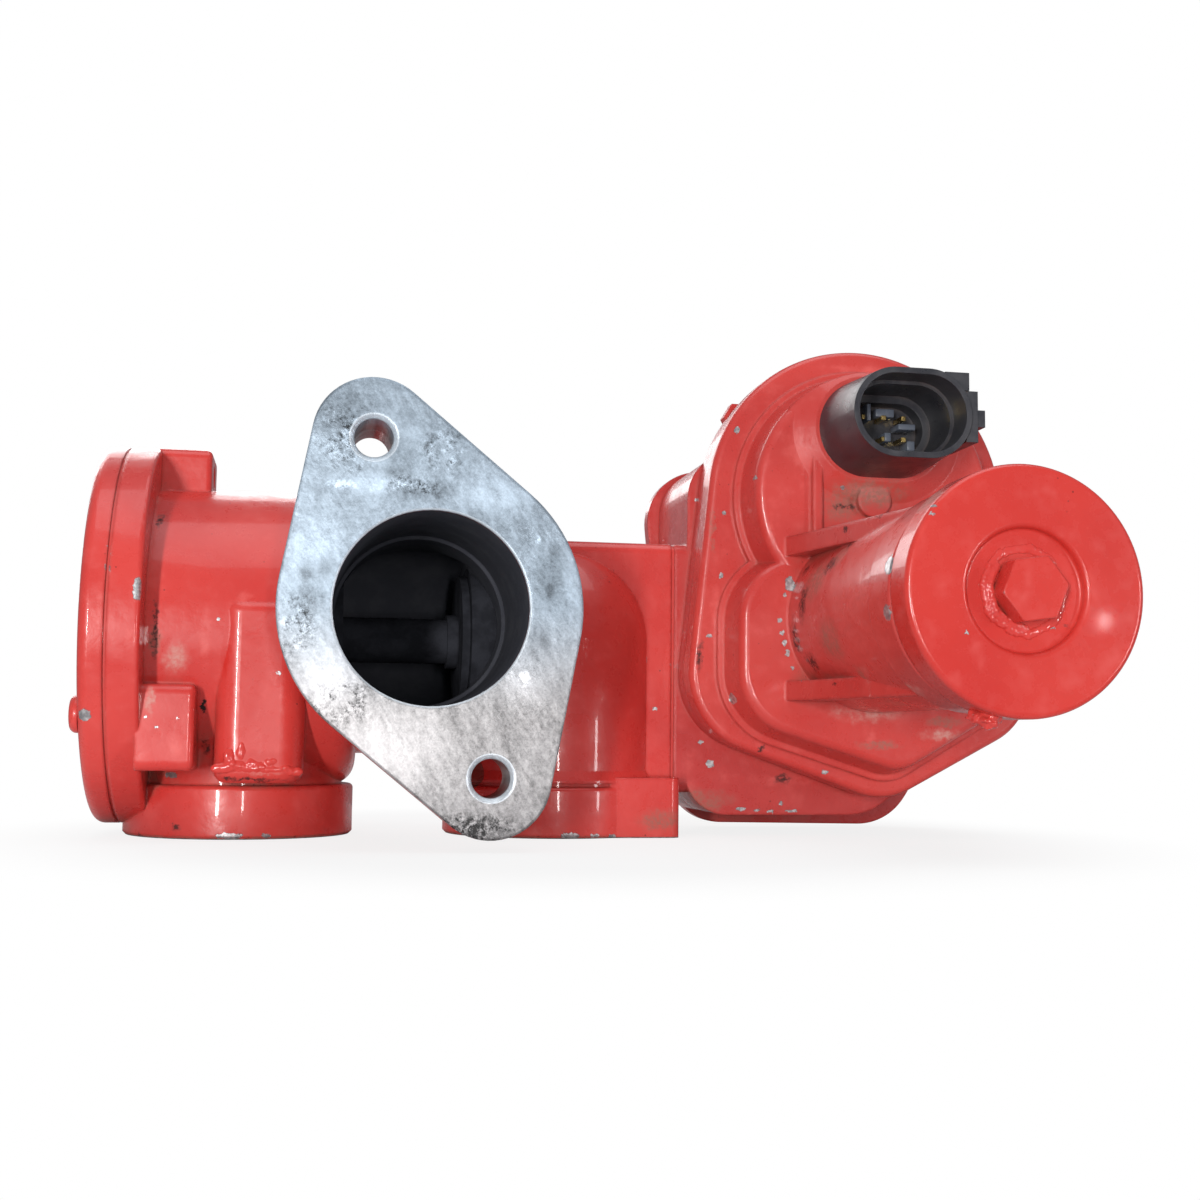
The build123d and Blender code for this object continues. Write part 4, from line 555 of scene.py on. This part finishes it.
# ------------------------------------------------------------------ plain metal, plastic and dull sheet
def metal(name, colour, rough=0.32, dirt=0.5):
    t = Tree(name)
    fine = t.noise(900.0, 4.0, 0.6)
    dark = tuple(part * 0.75 for part in colour)
    tone = t.mix(t.span(t.noise(90.0, 3.0, 0.6), 0.35, 0.65), dark, colour)
    # The corners get darker, by as much as the dirt argument asks.
    tone = t.mix(t.times(t.span(t.hollow(3.0), 0.3, 0.8), dirt), tone, METAL_CORNER_DARK)
    gloss = t.lerp(t.span(fine, 0.35, 0.7), rough - 0.06, rough + 0.1)
    return t.finish(tone, gloss, 1.0, t.bump(fine, 0.2, 0.1, t.bevel(0.25, 4)))


def plastic(name, colour, rough=0.42, bevel=0.35):
    t = Tree(name)
    fine = t.noise(1500.0, 3.0, 0.6)
    cloud = t.noise(120.0, 4.0, 0.65)
    light = tuple(part + (1 - part) * 0.0175 for part in colour)
    tone = t.mix(t.span(cloud, 0.4, 0.68), colour, light)
    corner = t.times(t.span(t.hollow(3.0), 0.35, 0.9), t.span(cloud, 0.4, 0.6, 0.1, 0.5))
    tone = t.mix(corner, tone, PLASTIC_DIRT)
    scuff = t.span(t.noise(1.0, 3.0, 0.7, at=t.scaled(900.0, 90.0, 160.0)), 0.62, 0.72)
    gloss = t.lerp(t.span(cloud, 0.3, 0.7), rough - 0.1, rough + 0.1)
    gloss = t.lerp(scuff, gloss, rough + 0.2)
    return t.finish(tone, gloss, 0.0, t.bump(fine, 0.25, 0.12, t.bevel(bevel, 4)))


def sheet(name, colour, rough=0.8, spec=0.5):
    t = Tree(name)
    fine = t.noise(1800.0, 3.0, 0.6)
    dark = tuple(part * 0.6 for part in colour)
    tone = t.mix(t.span(t.noise(160.0, 3.0, 0.6), 0.35, 0.65), dark, colour)
    return t.finish(tone, t.lerp(fine, rough - 0.1, rough + 0.1), 0.0, t.bump(fine, 0.4, 0.2), spec=spec)


# ------------------------------------------------------------------ marks seen in the photograph
# each mark is (x, y, width, height) in pixels of the photograph
CHIPS = (
    (137.5, 588, 9, 25), (104, 653, 7, 3), (171, 775, 17, 6), (84.5, 715, 13, 12), (146, 717, 3, 3),
    (155, 727, 3, 3), (178, 718, 2, 3), (229, 836, 28, 6), (266, 836, 9, 5), (219, 619, 4, 3),
    (279, 673, 4, 4), (570, 836, 20, 6), (595, 836, 10, 5), (612, 836, 9, 5), (655, 709, 4, 4),
    (701, 742, 5, 4), (710, 764, 9, 8), (737, 430, 6, 9), (724, 513, 5, 4), (721, 576, 5, 6),
    (709, 636, 5, 5), (733, 699, 8, 13), (755, 478, 4, 5), (825, 772, 8, 4), (790, 584, 11, 15),
    (785, 595, 5, 5), (780, 620, 4, 5), (782, 632, 5, 5), (784, 643, 5, 7), (788, 654, 5, 8),
    (793, 668, 4, 5), (889, 564, 9, 25), (887, 613, 7, 19), (934, 506, 7, 4), (932.5, 513.5, 5, 3),
    (1052, 627, 6, 4), (967, 632, 4, 4), (741, 809, 11, 4), (781, 803, 4, 4), (770, 811, 8, 3),
    (791, 811, 14, 3), (757, 810, 8, 3), (842, 488, 5, 5), (696, 500, 4, 3))
# Dark grime smudges and specks, and painted shadow lines under the fairing's lip, under the ridges and
# beside the end cover's flange.
SMUDGES_AND_SHADE_LINES = (
    (236, 780, 122, 6), (140, 835, 14, 5), (177, 828, 12, 10), (845, 507, 40, 8), (880, 515, 60, 6),
    (812, 662, 30, 26), (783, 779, 22, 14), (803, 600, 20, 60), (796, 640, 18, 60), (830, 566, 60, 26),
    (761, 748, 7, 7), (806, 570, 10, 22), (850, 545, 70, 10), (700, 655, 8, 40), (845, 530, 130, 7),
    (835, 684, 100, 5), (1066, 625, 8, 6), (205, 745, 12, 26), (520, 800, 8, 6), (160, 520, 10, 50),
    (155, 630, 8, 90), (670, 480, 10, 26))
PALE = (
    (176, 658, 34, 40), (683, 668, 12, 20), (866, 492, 96, 24), (865, 712, 100, 28), (865, 671, 84, 12),
    (262, 772, 50, 8), (150, 700, 12, 40), (835, 700, 60, 12), (940, 735, 60, 16), (158, 500, 12, 40),
    (915, 690, 30, 30), (700, 460, 8, 24))
BROWN = (
    (872, 492, 110, 44), (930, 500, 60, 40), (840, 505, 60, 44), (815, 580, 60, 60), (840, 556, 90, 34),
    (860, 672, 90, 14), (830, 640, 70, 60), (700, 800, 90, 30), (660, 820, 60, 30), (880, 745, 60, 12),
    (945, 722, 50, 14), (155, 640, 16, 40), (712, 530, 6, 60))
WET = ((249, 675, 38, 150), (250, 760, 90, 24), (225, 650, 12, 60))
# Painted highlights and sheen: light red marks where the paint catches the lamps.
PAINTED_SHEEN_MARKS = (
    (130, 636, 14, 20), (100, 620, 12, 90), (246, 600, 26, 24), (290, 640, 14, 120), (205, 640, 16, 90),
    (800, 450, 40, 60), (860, 370, 110, 12), (715, 610, 12, 120), (790, 780, 110, 14), (845, 398, 30, 14),
    (175, 745, 22, 30), (600, 795, 40, 14), (230, 810, 60, 40), (150, 810, 40, 40), (770, 530, 10, 50),
    (872, 738, 12, 26))
# Painted shade: a black oval where a small hole beside the boss looks dark.
PAINTED_HOLE_SHADE = ((203, 706, 6, 18),)
MARKS = {
    "chips": CHIPS,
    "smudges_and_shade": SMUDGES_AND_SHADE_LINES,
    "pale": PALE,
    "brown": BROWN,
    "wet": WET,
    "painted_sheen": PAINTED_SHEEN_MARKS,
    "hole_shade": PAINTED_HOLE_SHADE,
}


def ray(px, py):
    """Direction from the camera through a pixel of the photograph."""
    right = CAM_RIGHT * ((px - PHOTO_SIZE / 2) / PIXELS)
    down = CAM_UP * ((py - PHOTO_SIZE / 2) / PIXELS)
    return (right - down - CAM_BACK).normalized()


def spot(px, py, y):
    """Place on the plane Y = y (mm) that the camera sees at a pixel, in mm."""
    line = ray(px, py)
    share = (y * MM - CAM_AT.y) / line.y
    return (CAM_AT + line * share) / MM


def seen(px, py):
    """First surface behind a pixel: its place in mm, its node and its distance from the camera in mm."""
    layer = bpy.context.evaluated_depsgraph_get()
    found, at, _, _, obj, _ = bpy.context.scene.ray_cast(layer, CAM_AT, ray(px, py))
    if not found:
        return None, None, 0.0
    names = [name for name, node in frame["nodes"].items() if node.name == obj.name]
    return at / MM, names[0], (at - CAM_AT).length / MM


def collect_marks():
    """Each mark goes to the node that shows at its pixel, as a centre and half axes in mm."""
    found = {}
    for kind, marks in MARKS.items():
        for px, py, width, height in marks:
            at, node, far = seen(px, py)
            if node is None:
                continue
            across = width / 2 * far / PIXELS
            up = height / 2 * far / PIXELS
            depth = max(1.6, 1.2 * min(across, up) + 1.0)
            found.setdefault(node, {}).setdefault(kind, []).append((at.x, at.y, at.z, across, depth, up))
    return found


# ------------------------------------------------------------------ materials of the CAD nodes
PAINTED = {
    "end_cover": dict(bevel=1.4),
    "gear_housing": dict(bevel=1.4, tone=REAR_RED),
    "rear_cover": dict(bevel=1.2, tone=REAR_RED),
    "gear_cover": dict(bevel=1.5, tone=COVER_RED),
    "motor_cap": dict(bevel=1.0, rough=0.26, grain=0.10, dust=0.8, tone=CAP_RED),
    "cap_plug": dict(bevel=0.9, rough=0.26, grain=0.15, tone=CAP_RED),
    "end_cover_screws": dict(bevel=0.8),
    "long_screws": dict(bevel=0.6),
    "short_screws": dict(bevel=0.5),
}
PAINTED_GASKETS = ("end_cover_gasket", "housing_gasket", "rear_cover_gasket", "cover_seal", "cap_seal")


def slot_materials():
    """The finish of each material slot of the record that has no paint on it."""
    rubber = sheet("seal_rubber", (0.025, 0.025, 0.025), 0.65)
    return {
        "steel": metal("plain_steel", (0.60, 0.60, 0.60), 0.30),
        "spring_steel": metal("spring_wire", (0.36, 0.37, 0.39), 0.30),
        "bronze": metal("sintered_bronze", (0.60, 0.40, 0.20), 0.42),
        "copper": metal("lacquered_copper", (0.66, 0.27, 0.12), 0.30),
        "gold_contact": metal("gold_contact", (0.83, 0.60, 0.22), 0.24, dirt=0.2),
        "black_plastic": plastic("black_nylon", (0.030, 0.031, 0.038), 0.36),
        "gear_plastic": plastic("gear_nylon", (0.72, 0.68, 0.56), 0.45),
        "board": plastic("circuit_board", (0.02, 0.14, 0.05), 0.35),
        "stainless": sheet("sooted_steel", (0.040, 0.042, 0.052), 0.90, spec=0.05),
        "magnet": sheet("ferrite", (0.10, 0.10, 0.11), 0.6),
        "carbon": sheet("carbon", (0.05, 0.05, 0.05), 0.6),
        "seal_rubber": rubber,
        "gasket_sheet": rubber,
    }


def node_materials():
    """The paint of each painted node."""
    marks = collect_marks()
    made = {name: paint(name + "_paint", marks.get(name, {}), **given) for name, given in PAINTED.items()}
    made["valve_body"] = body_material(marks["valve_body"])
    gasket = paint("gasket_edge_paint", {}, bevel=0.3, rough=0.5)
    made.update({name: gasket for name in PAINTED_GASKETS})
    return made


def dress_all():
    painted = node_materials()
    plain = slot_materials()
    for part in frame["record"]["subparts"]:
        node = part["node"]
        mesh = frame["nodes"][node].data
        mesh.materials.clear()
        mesh.materials.append(painted[node] if node in painted else plain[part["material_slot"]])


# ------------------------------------------------------------------ paint lumps and socket keys, in mm
PLUG_SEAT_Y = -50.0
RING_BLOBS = 64
RING_R = 8.9
RING_INNER_R = 7.7
HEAP_SIDE = math.radians(205)
HEAP_LEAST = 0.35

CAP_DROP_PIXEL = (989, 719)
CAP_DROP_Y = -46.0
# offset from the drop's middle, then half axes
CAP_DROP_BLOBS = (
    (0.0, 0.0, 0.0, 2.6, 2.4, 1.9), (-2.6, 1.2, 0.4, 1.7, 2.0, 1.4), (2.0, 0.4, 0.2, 1.3, 1.4, 1.0),
    (-0.6, -0.4, -1.2, 1.4, 1.3, 1.1), (4.0, 0.2, 0.7, 1.2, 1.0, 0.6))

FAIRING_Y = 36.0
RUN_BLOBS = 22
RUN_FIRST_PIXEL = (217, 768)
RUN_STEP_PIXELS = (3.8, 0.12)
RUN_LIFT_FROM = 15
# pixel of each heap on the run, then its half width and half height
RUN_HEAPS = (
    ((241, 752), 1.5, 2.6), ((251, 763), 1.7, 1.5), ((239, 765), 2.0, 1.6), ((229, 757), 1.5, 2.2),
    ((270, 762), 2.4, 1.2))

SOCKET_FLOOR_Y = 34.9
KEY_ROUND = 0.25
# pixel of each key in the socket, then its half sizes
SOCKET_KEYS = {
    "left": ((869, 412), (0.55, 3.6, 2.3)),
    "fan": ((885, 413), (2.6, 2.4, 1.1)),
    "right": ((907, 427), (2.4, 3.0, 0.8)),
    "mid": ((888, 437), (0.9, 3.0, 1.2)),
    "low": ((911, 446), (1.1, 2.8, 1.3)),
}


def mesh_piece(name, bm, material):
    """New piece fixed to the housing."""
    mesh = bpy.data.meshes.new(name)
    bm.to_mesh(mesh)
    bm.free()
    for face in mesh.polygons:
        face.use_smooth = True
    obj = bpy.data.objects.new(name, mesh)
    bpy.context.scene.collection.objects.link(obj)
    mesh.materials.append(material)
    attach(obj, "housing")
    return obj


def lumps(name, blobs, material, rough):
    """Run together blobs, each a centre and half axes in mm, as one uneven drop of paint."""
    bm = bmesh.new()
    for index, (x, y, z, rx, ry, rz) in enumerate(blobs):
        new = bmesh.ops.create_uvsphere(bm, u_segments=20, v_segments=12, radius=1.0)["verts"]
        for vert in new:
            wave = 1.0 + rough * noise.noise(vert.co * 1.7 + Vector((index * 3.1, 0.4, 0.9)))
            co = vert.co
            vert.co = Vector((x + co.x * rx * wave, y + co.y * ry * wave, z + co.z * rz * wave)) * MM
    return mesh_piece(name, bm, material)


def fuse(obj, voxel, rounds):
    """Melt a piece's blobs into one smooth skin."""
    join = obj.modifiers.new("join", "REMESH")
    join.mode = "VOXEL"
    join.voxel_size = voxel * MM
    relax = obj.modifiers.new("relax", "SMOOTH")
    relax.factor = 0.6
    relax.iterations = rounds
    layer = bpy.context.evaluated_depsgraph_get()
    layer.update()
    melted = bpy.data.meshes.new_from_object(obj.evaluated_get(layer))
    obj.modifiers.clear()
    for face in melted.polygons:
        face.use_smooth = True
    obj.data = melted


def cap_drop(material):
    """Drop of paint that hangs under the cap."""
    low = spot(*CAP_DROP_PIXEL, CAP_DROP_Y)
    blobs = [(low.x + dx, low.y + dy, low.z + dz, *axes) for dx, dy, dz, *axes in CAP_DROP_BLOBS]
    fuse(lumps("cap_paint_drop", blobs, material, rough=0.45), voxel=0.22, rounds=2)


def fairing_run(material):
    """Wavy ridge of run paint on the fairing, with a few heaps on it."""
    blobs = []
    for i in range(RUN_BLOBS):
        wave = noise.noise(Vector((i * 0.42, 2.2, 0.0))) * 2.2 + noise.noise(Vector((i * 1.1, 5.0, 1.0)))
        px = RUN_FIRST_PIXEL[0] + i * RUN_STEP_PIXELS[0]
        py = RUN_FIRST_PIXEL[1] + i * RUN_STEP_PIXELS[1] - wave * 2.0
        at = spot(px, py, FAIRING_Y)
        lift = 0.75 + 0.10 * max(0, i - RUN_LIFT_FROM)
        blobs.append((at.x, FAIRING_Y + lift, at.z, 1.6, 0.95 + 0.2 * wave, 1.3 + 0.3 * wave))
    for pixel, rx, rz in RUN_HEAPS:
        at = spot(*pixel, FAIRING_Y)
        blobs.append((at.x, FAIRING_Y + 0.5, at.z, rx, 0.8, rz))
    fuse(lumps("fairing_paint_run", blobs, material, rough=0.25), voxel=0.25, rounds=2)


def plug_ring(material):
    """Thick wrinkled paint round the motor plug's hexagon, heaped up on its left and lower left."""
    blobs = []
    for i in range(RING_BLOBS):
        turn = 2 * math.pi * i / RING_BLOBS
        way = Vector((math.cos(turn), 0.0, math.sin(turn)))
        heap = max(0.0, math.cos(turn - HEAP_SIDE))
        wave = noise.noise(way * 3.1) * 0.9 + noise.noise(way * 9.0) * 0.5
        wide = 1.0 + 0.25 * wave
        tall = 0.35 + 0.75 * heap + 0.25 * abs(wave)
        out = RING_R + 0.7 * wave
        blobs.append((MOTOR_X + way.x * out, PLUG_SEAT_Y + 0.05, MOTOR_Z + way.z * out, wide, tall, wide))
        if heap > HEAP_LEAST:
            out = RING_INNER_R + 0.5 * wave
            blobs.append((MOTOR_X + way.x * out, PLUG_SEAT_Y, MOTOR_Z + way.z * out, 1.0, 1.6 * heap, 1.0))
    fuse(lumps("plug_paint_ring", blobs, material, rough=0.3), voxel=0.22, rounds=3)


def socket_key(name, pixel, half, material):
    """Rounded block that stands on the floor of the plug socket."""
    at = spot(*pixel, SOCKET_FLOOR_Y - half[1] * 2)
    y = SOCKET_FLOOR_Y - half[1]
    bm = bmesh.new()
    bmesh.ops.create_cube(bm, size=2.0)
    for vert in bm.verts:
        co = vert.co
        vert.co = Vector((at.x + co.x * half[0], y + co.y * half[1], at.z + co.z * half[2])) * MM
    bmesh.ops.bevel(bm, geom=list(bm.edges), offset=KEY_ROUND * MM, segments=2, affect="EDGES", profile=0.5)
    mesh_piece("socket_key_" + name, bm, material)


def extra_pieces():
    thick = paint("run_paint", {}, bevel=0.3, rough=0.16, grain=0.25, dust=0.4)
    cap_drop(thick)
    fairing_run(thick)
    plug_ring(thick)
    # The keys get a lighter grey-blue than the shell: painted sheen.
    grey = plastic("socket_sheen_grey", SOCKET_SHEEN_GREY, 0.28, bevel=0.2)
    for name, (pixel, half) in SOCKET_KEYS.items():
        socket_key(name, pixel, half, grey)


def closing_spring():
    """Copy that stands for the CAD spring, which keeps its length; the copy is fixed to the housing and the
    CAD spring is hidden.
    """
    coil = bpy.data.objects.new("return_spring_coil", frame["nodes"]["return_spring"].data.copy())
    bpy.context.scene.collection.objects.link(coil)
    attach(coil, "housing")
    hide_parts("return_spring")
    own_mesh(coil)


# ------------------------------------------------------------------ stage, light and camera
FLOOR_AT = Vector((42.0, 62.0, FOOT_Z)) * MM
FLOOR_R = 175.0
FLOOR_GREYS = ((0.76, 0.76, 0.76), (0.80, 0.80, 0.80))
# the camera sees the floor turn white between these distances from its middle, in mm
FLOOR_FADE = (100.0, 170.0)
FLOOR_LEAST_WHITE = 0.84
SKY = (0.93, 0.95, 1.0)
SKY_STRENGTH = 0.28

# name: place, aim, size and power in metres and watts, and colour
LAMPS = {
    "left": ((-0.36, -0.85, 0.02), (0.02, 0.02, 0.0), (0.045, 0.30), 5.6, (1.0, 0.985, 0.97)),
    "front": ((0.05, -0.95, -0.07), (0.02, 0.02, -0.01), (0.035, 0.22), 1.5, (1.0, 0.99, 0.98)),
    "right": ((0.80, -0.72, 0.02), (0.06, 0.02, 0.0), (0.06, 0.30), 1.8, (0.98, 0.985, 1.0)),
    "spark": ((0.652, -0.962, 0.077), (0.13, 0.0, 0.0), (0.007, 0.012), 0.014, WHITE),
    "top": ((0.10, -0.10, 0.80), (0.02, 0.05, 0.0), (0.8, 0.6), 2.8, (0.94, 0.97, 1.0)),
    "rear": ((-0.2, 0.75, 0.45), (0.02, 0.05, 0.0), (0.6, 0.5), 3.0, WHITE),
}


def floor_material():
    """Pale matt floor that turns white towards its rim for the camera alone."""
    t = Tree("pale_floor")
    seen_by = t.nodes.new("ShaderNodeLightPath")
    plain = t.nodes.new("ShaderNodeBsdfDiffuse")
    t.put(plain.inputs["Color"], t.mix(t.noise(14.0, 3.0), *FLOOR_GREYS))
    white = t.nodes.new("ShaderNodeEmission")
    t.put(white.inputs["Color"], WHITE)
    away = t.vmath("LENGTH", t.vmath("SUBTRACT", t.where, FLOOR_AT))
    whiter = t.span(away, FLOOR_FADE[0] * MM, FLOOR_FADE[1] * MM, FLOOR_LEAST_WHITE, 1.0)
    both = t.nodes.new("ShaderNodeMixShader")
    t.put(both.inputs[0], t.times(whiter, seen_by.outputs["Is Camera Ray"]))
    t.links.new(plain.outputs[0], both.inputs[1])
    t.links.new(white.outputs[0], both.inputs[2])
    t.links.new(both.outputs[0], t.out.inputs["Surface"])
    return t.mat


def stage():
    bm = bmesh.new()
    place = Matrix.Translation(FLOOR_AT)
    bmesh.ops.create_circle(bm, cap_ends=True, segments=96, radius=FLOOR_R * MM, matrix=place)
    mesh = bpy.data.meshes.new("floor")
    bm.to_mesh(mesh)
    bm.free()
    floor = bpy.data.objects.new("floor", mesh)
    bpy.context.scene.collection.objects.link(floor)
    mesh.materials.append(floor_material())


def world():
    """Soft even light, and plain white for the camera."""
    scene_world = bpy.data.worlds.new("studio")
    bpy.context.scene.world = scene_world
    scene_world.use_nodes = True
    nodes, links = scene_world.node_tree.nodes, scene_world.node_tree.links
    nodes.clear()
    out = nodes.new("ShaderNodeOutputWorld")
    path = nodes.new("ShaderNodeLightPath")
    mix = nodes.new("ShaderNodeMixShader")
    links.new(path.outputs["Is Camera Ray"], mix.inputs[0])
    for slot, colour, strength in ((1, SKY, SKY_STRENGTH), (2, WHITE, 1.0)):
        light = nodes.new("ShaderNodeBackground")
        light.inputs["Color"].default_value = (*colour, 1.0)
        light.inputs["Strength"].default_value = strength
        links.new(light.outputs[0], mix.inputs[slot])
    links.new(mix.outputs[0], out.inputs["Surface"])


def lamp(name, at, aim, size, power, colour):
    light = bpy.data.lights.new(name, "AREA")
    light.shape = "RECTANGLE"
    light.size, light.size_y = size
    light.energy = power
    light.color = colour
    obj = bpy.data.objects.new(name, light)
    bpy.context.scene.collection.objects.link(obj)
    obj.location = at
    obj.rotation_euler = (Vector(aim) - Vector(at)).to_track_quat("-Z", "Y").to_euler()


def camera():
    data = bpy.data.cameras.new("camera")
    data.lens = LENS
    data.sensor_width = SENSOR
    data.sensor_height = SENSOR
    data.sensor_fit = "HORIZONTAL"
    data.clip_start = 0.01
    data.clip_end = 20.0
    obj = bpy.data.objects.new("camera", data)
    bpy.context.scene.collection.objects.link(obj)
    turn = Matrix((CAM_RIGHT, CAM_UP, CAM_BACK)).transposed().to_4x4()
    obj.matrix_world = Matrix.Translation(CAM_AT) @ turn
    bpy.context.scene.camera = obj


dress_all()
extra_pieces()
closing_spring()
stage()
world()
for lamp_name, given in LAMPS.items():
    lamp(lamp_name, *given)
camera()
bpy.context.scene.view_settings.view_transform = "Standard"
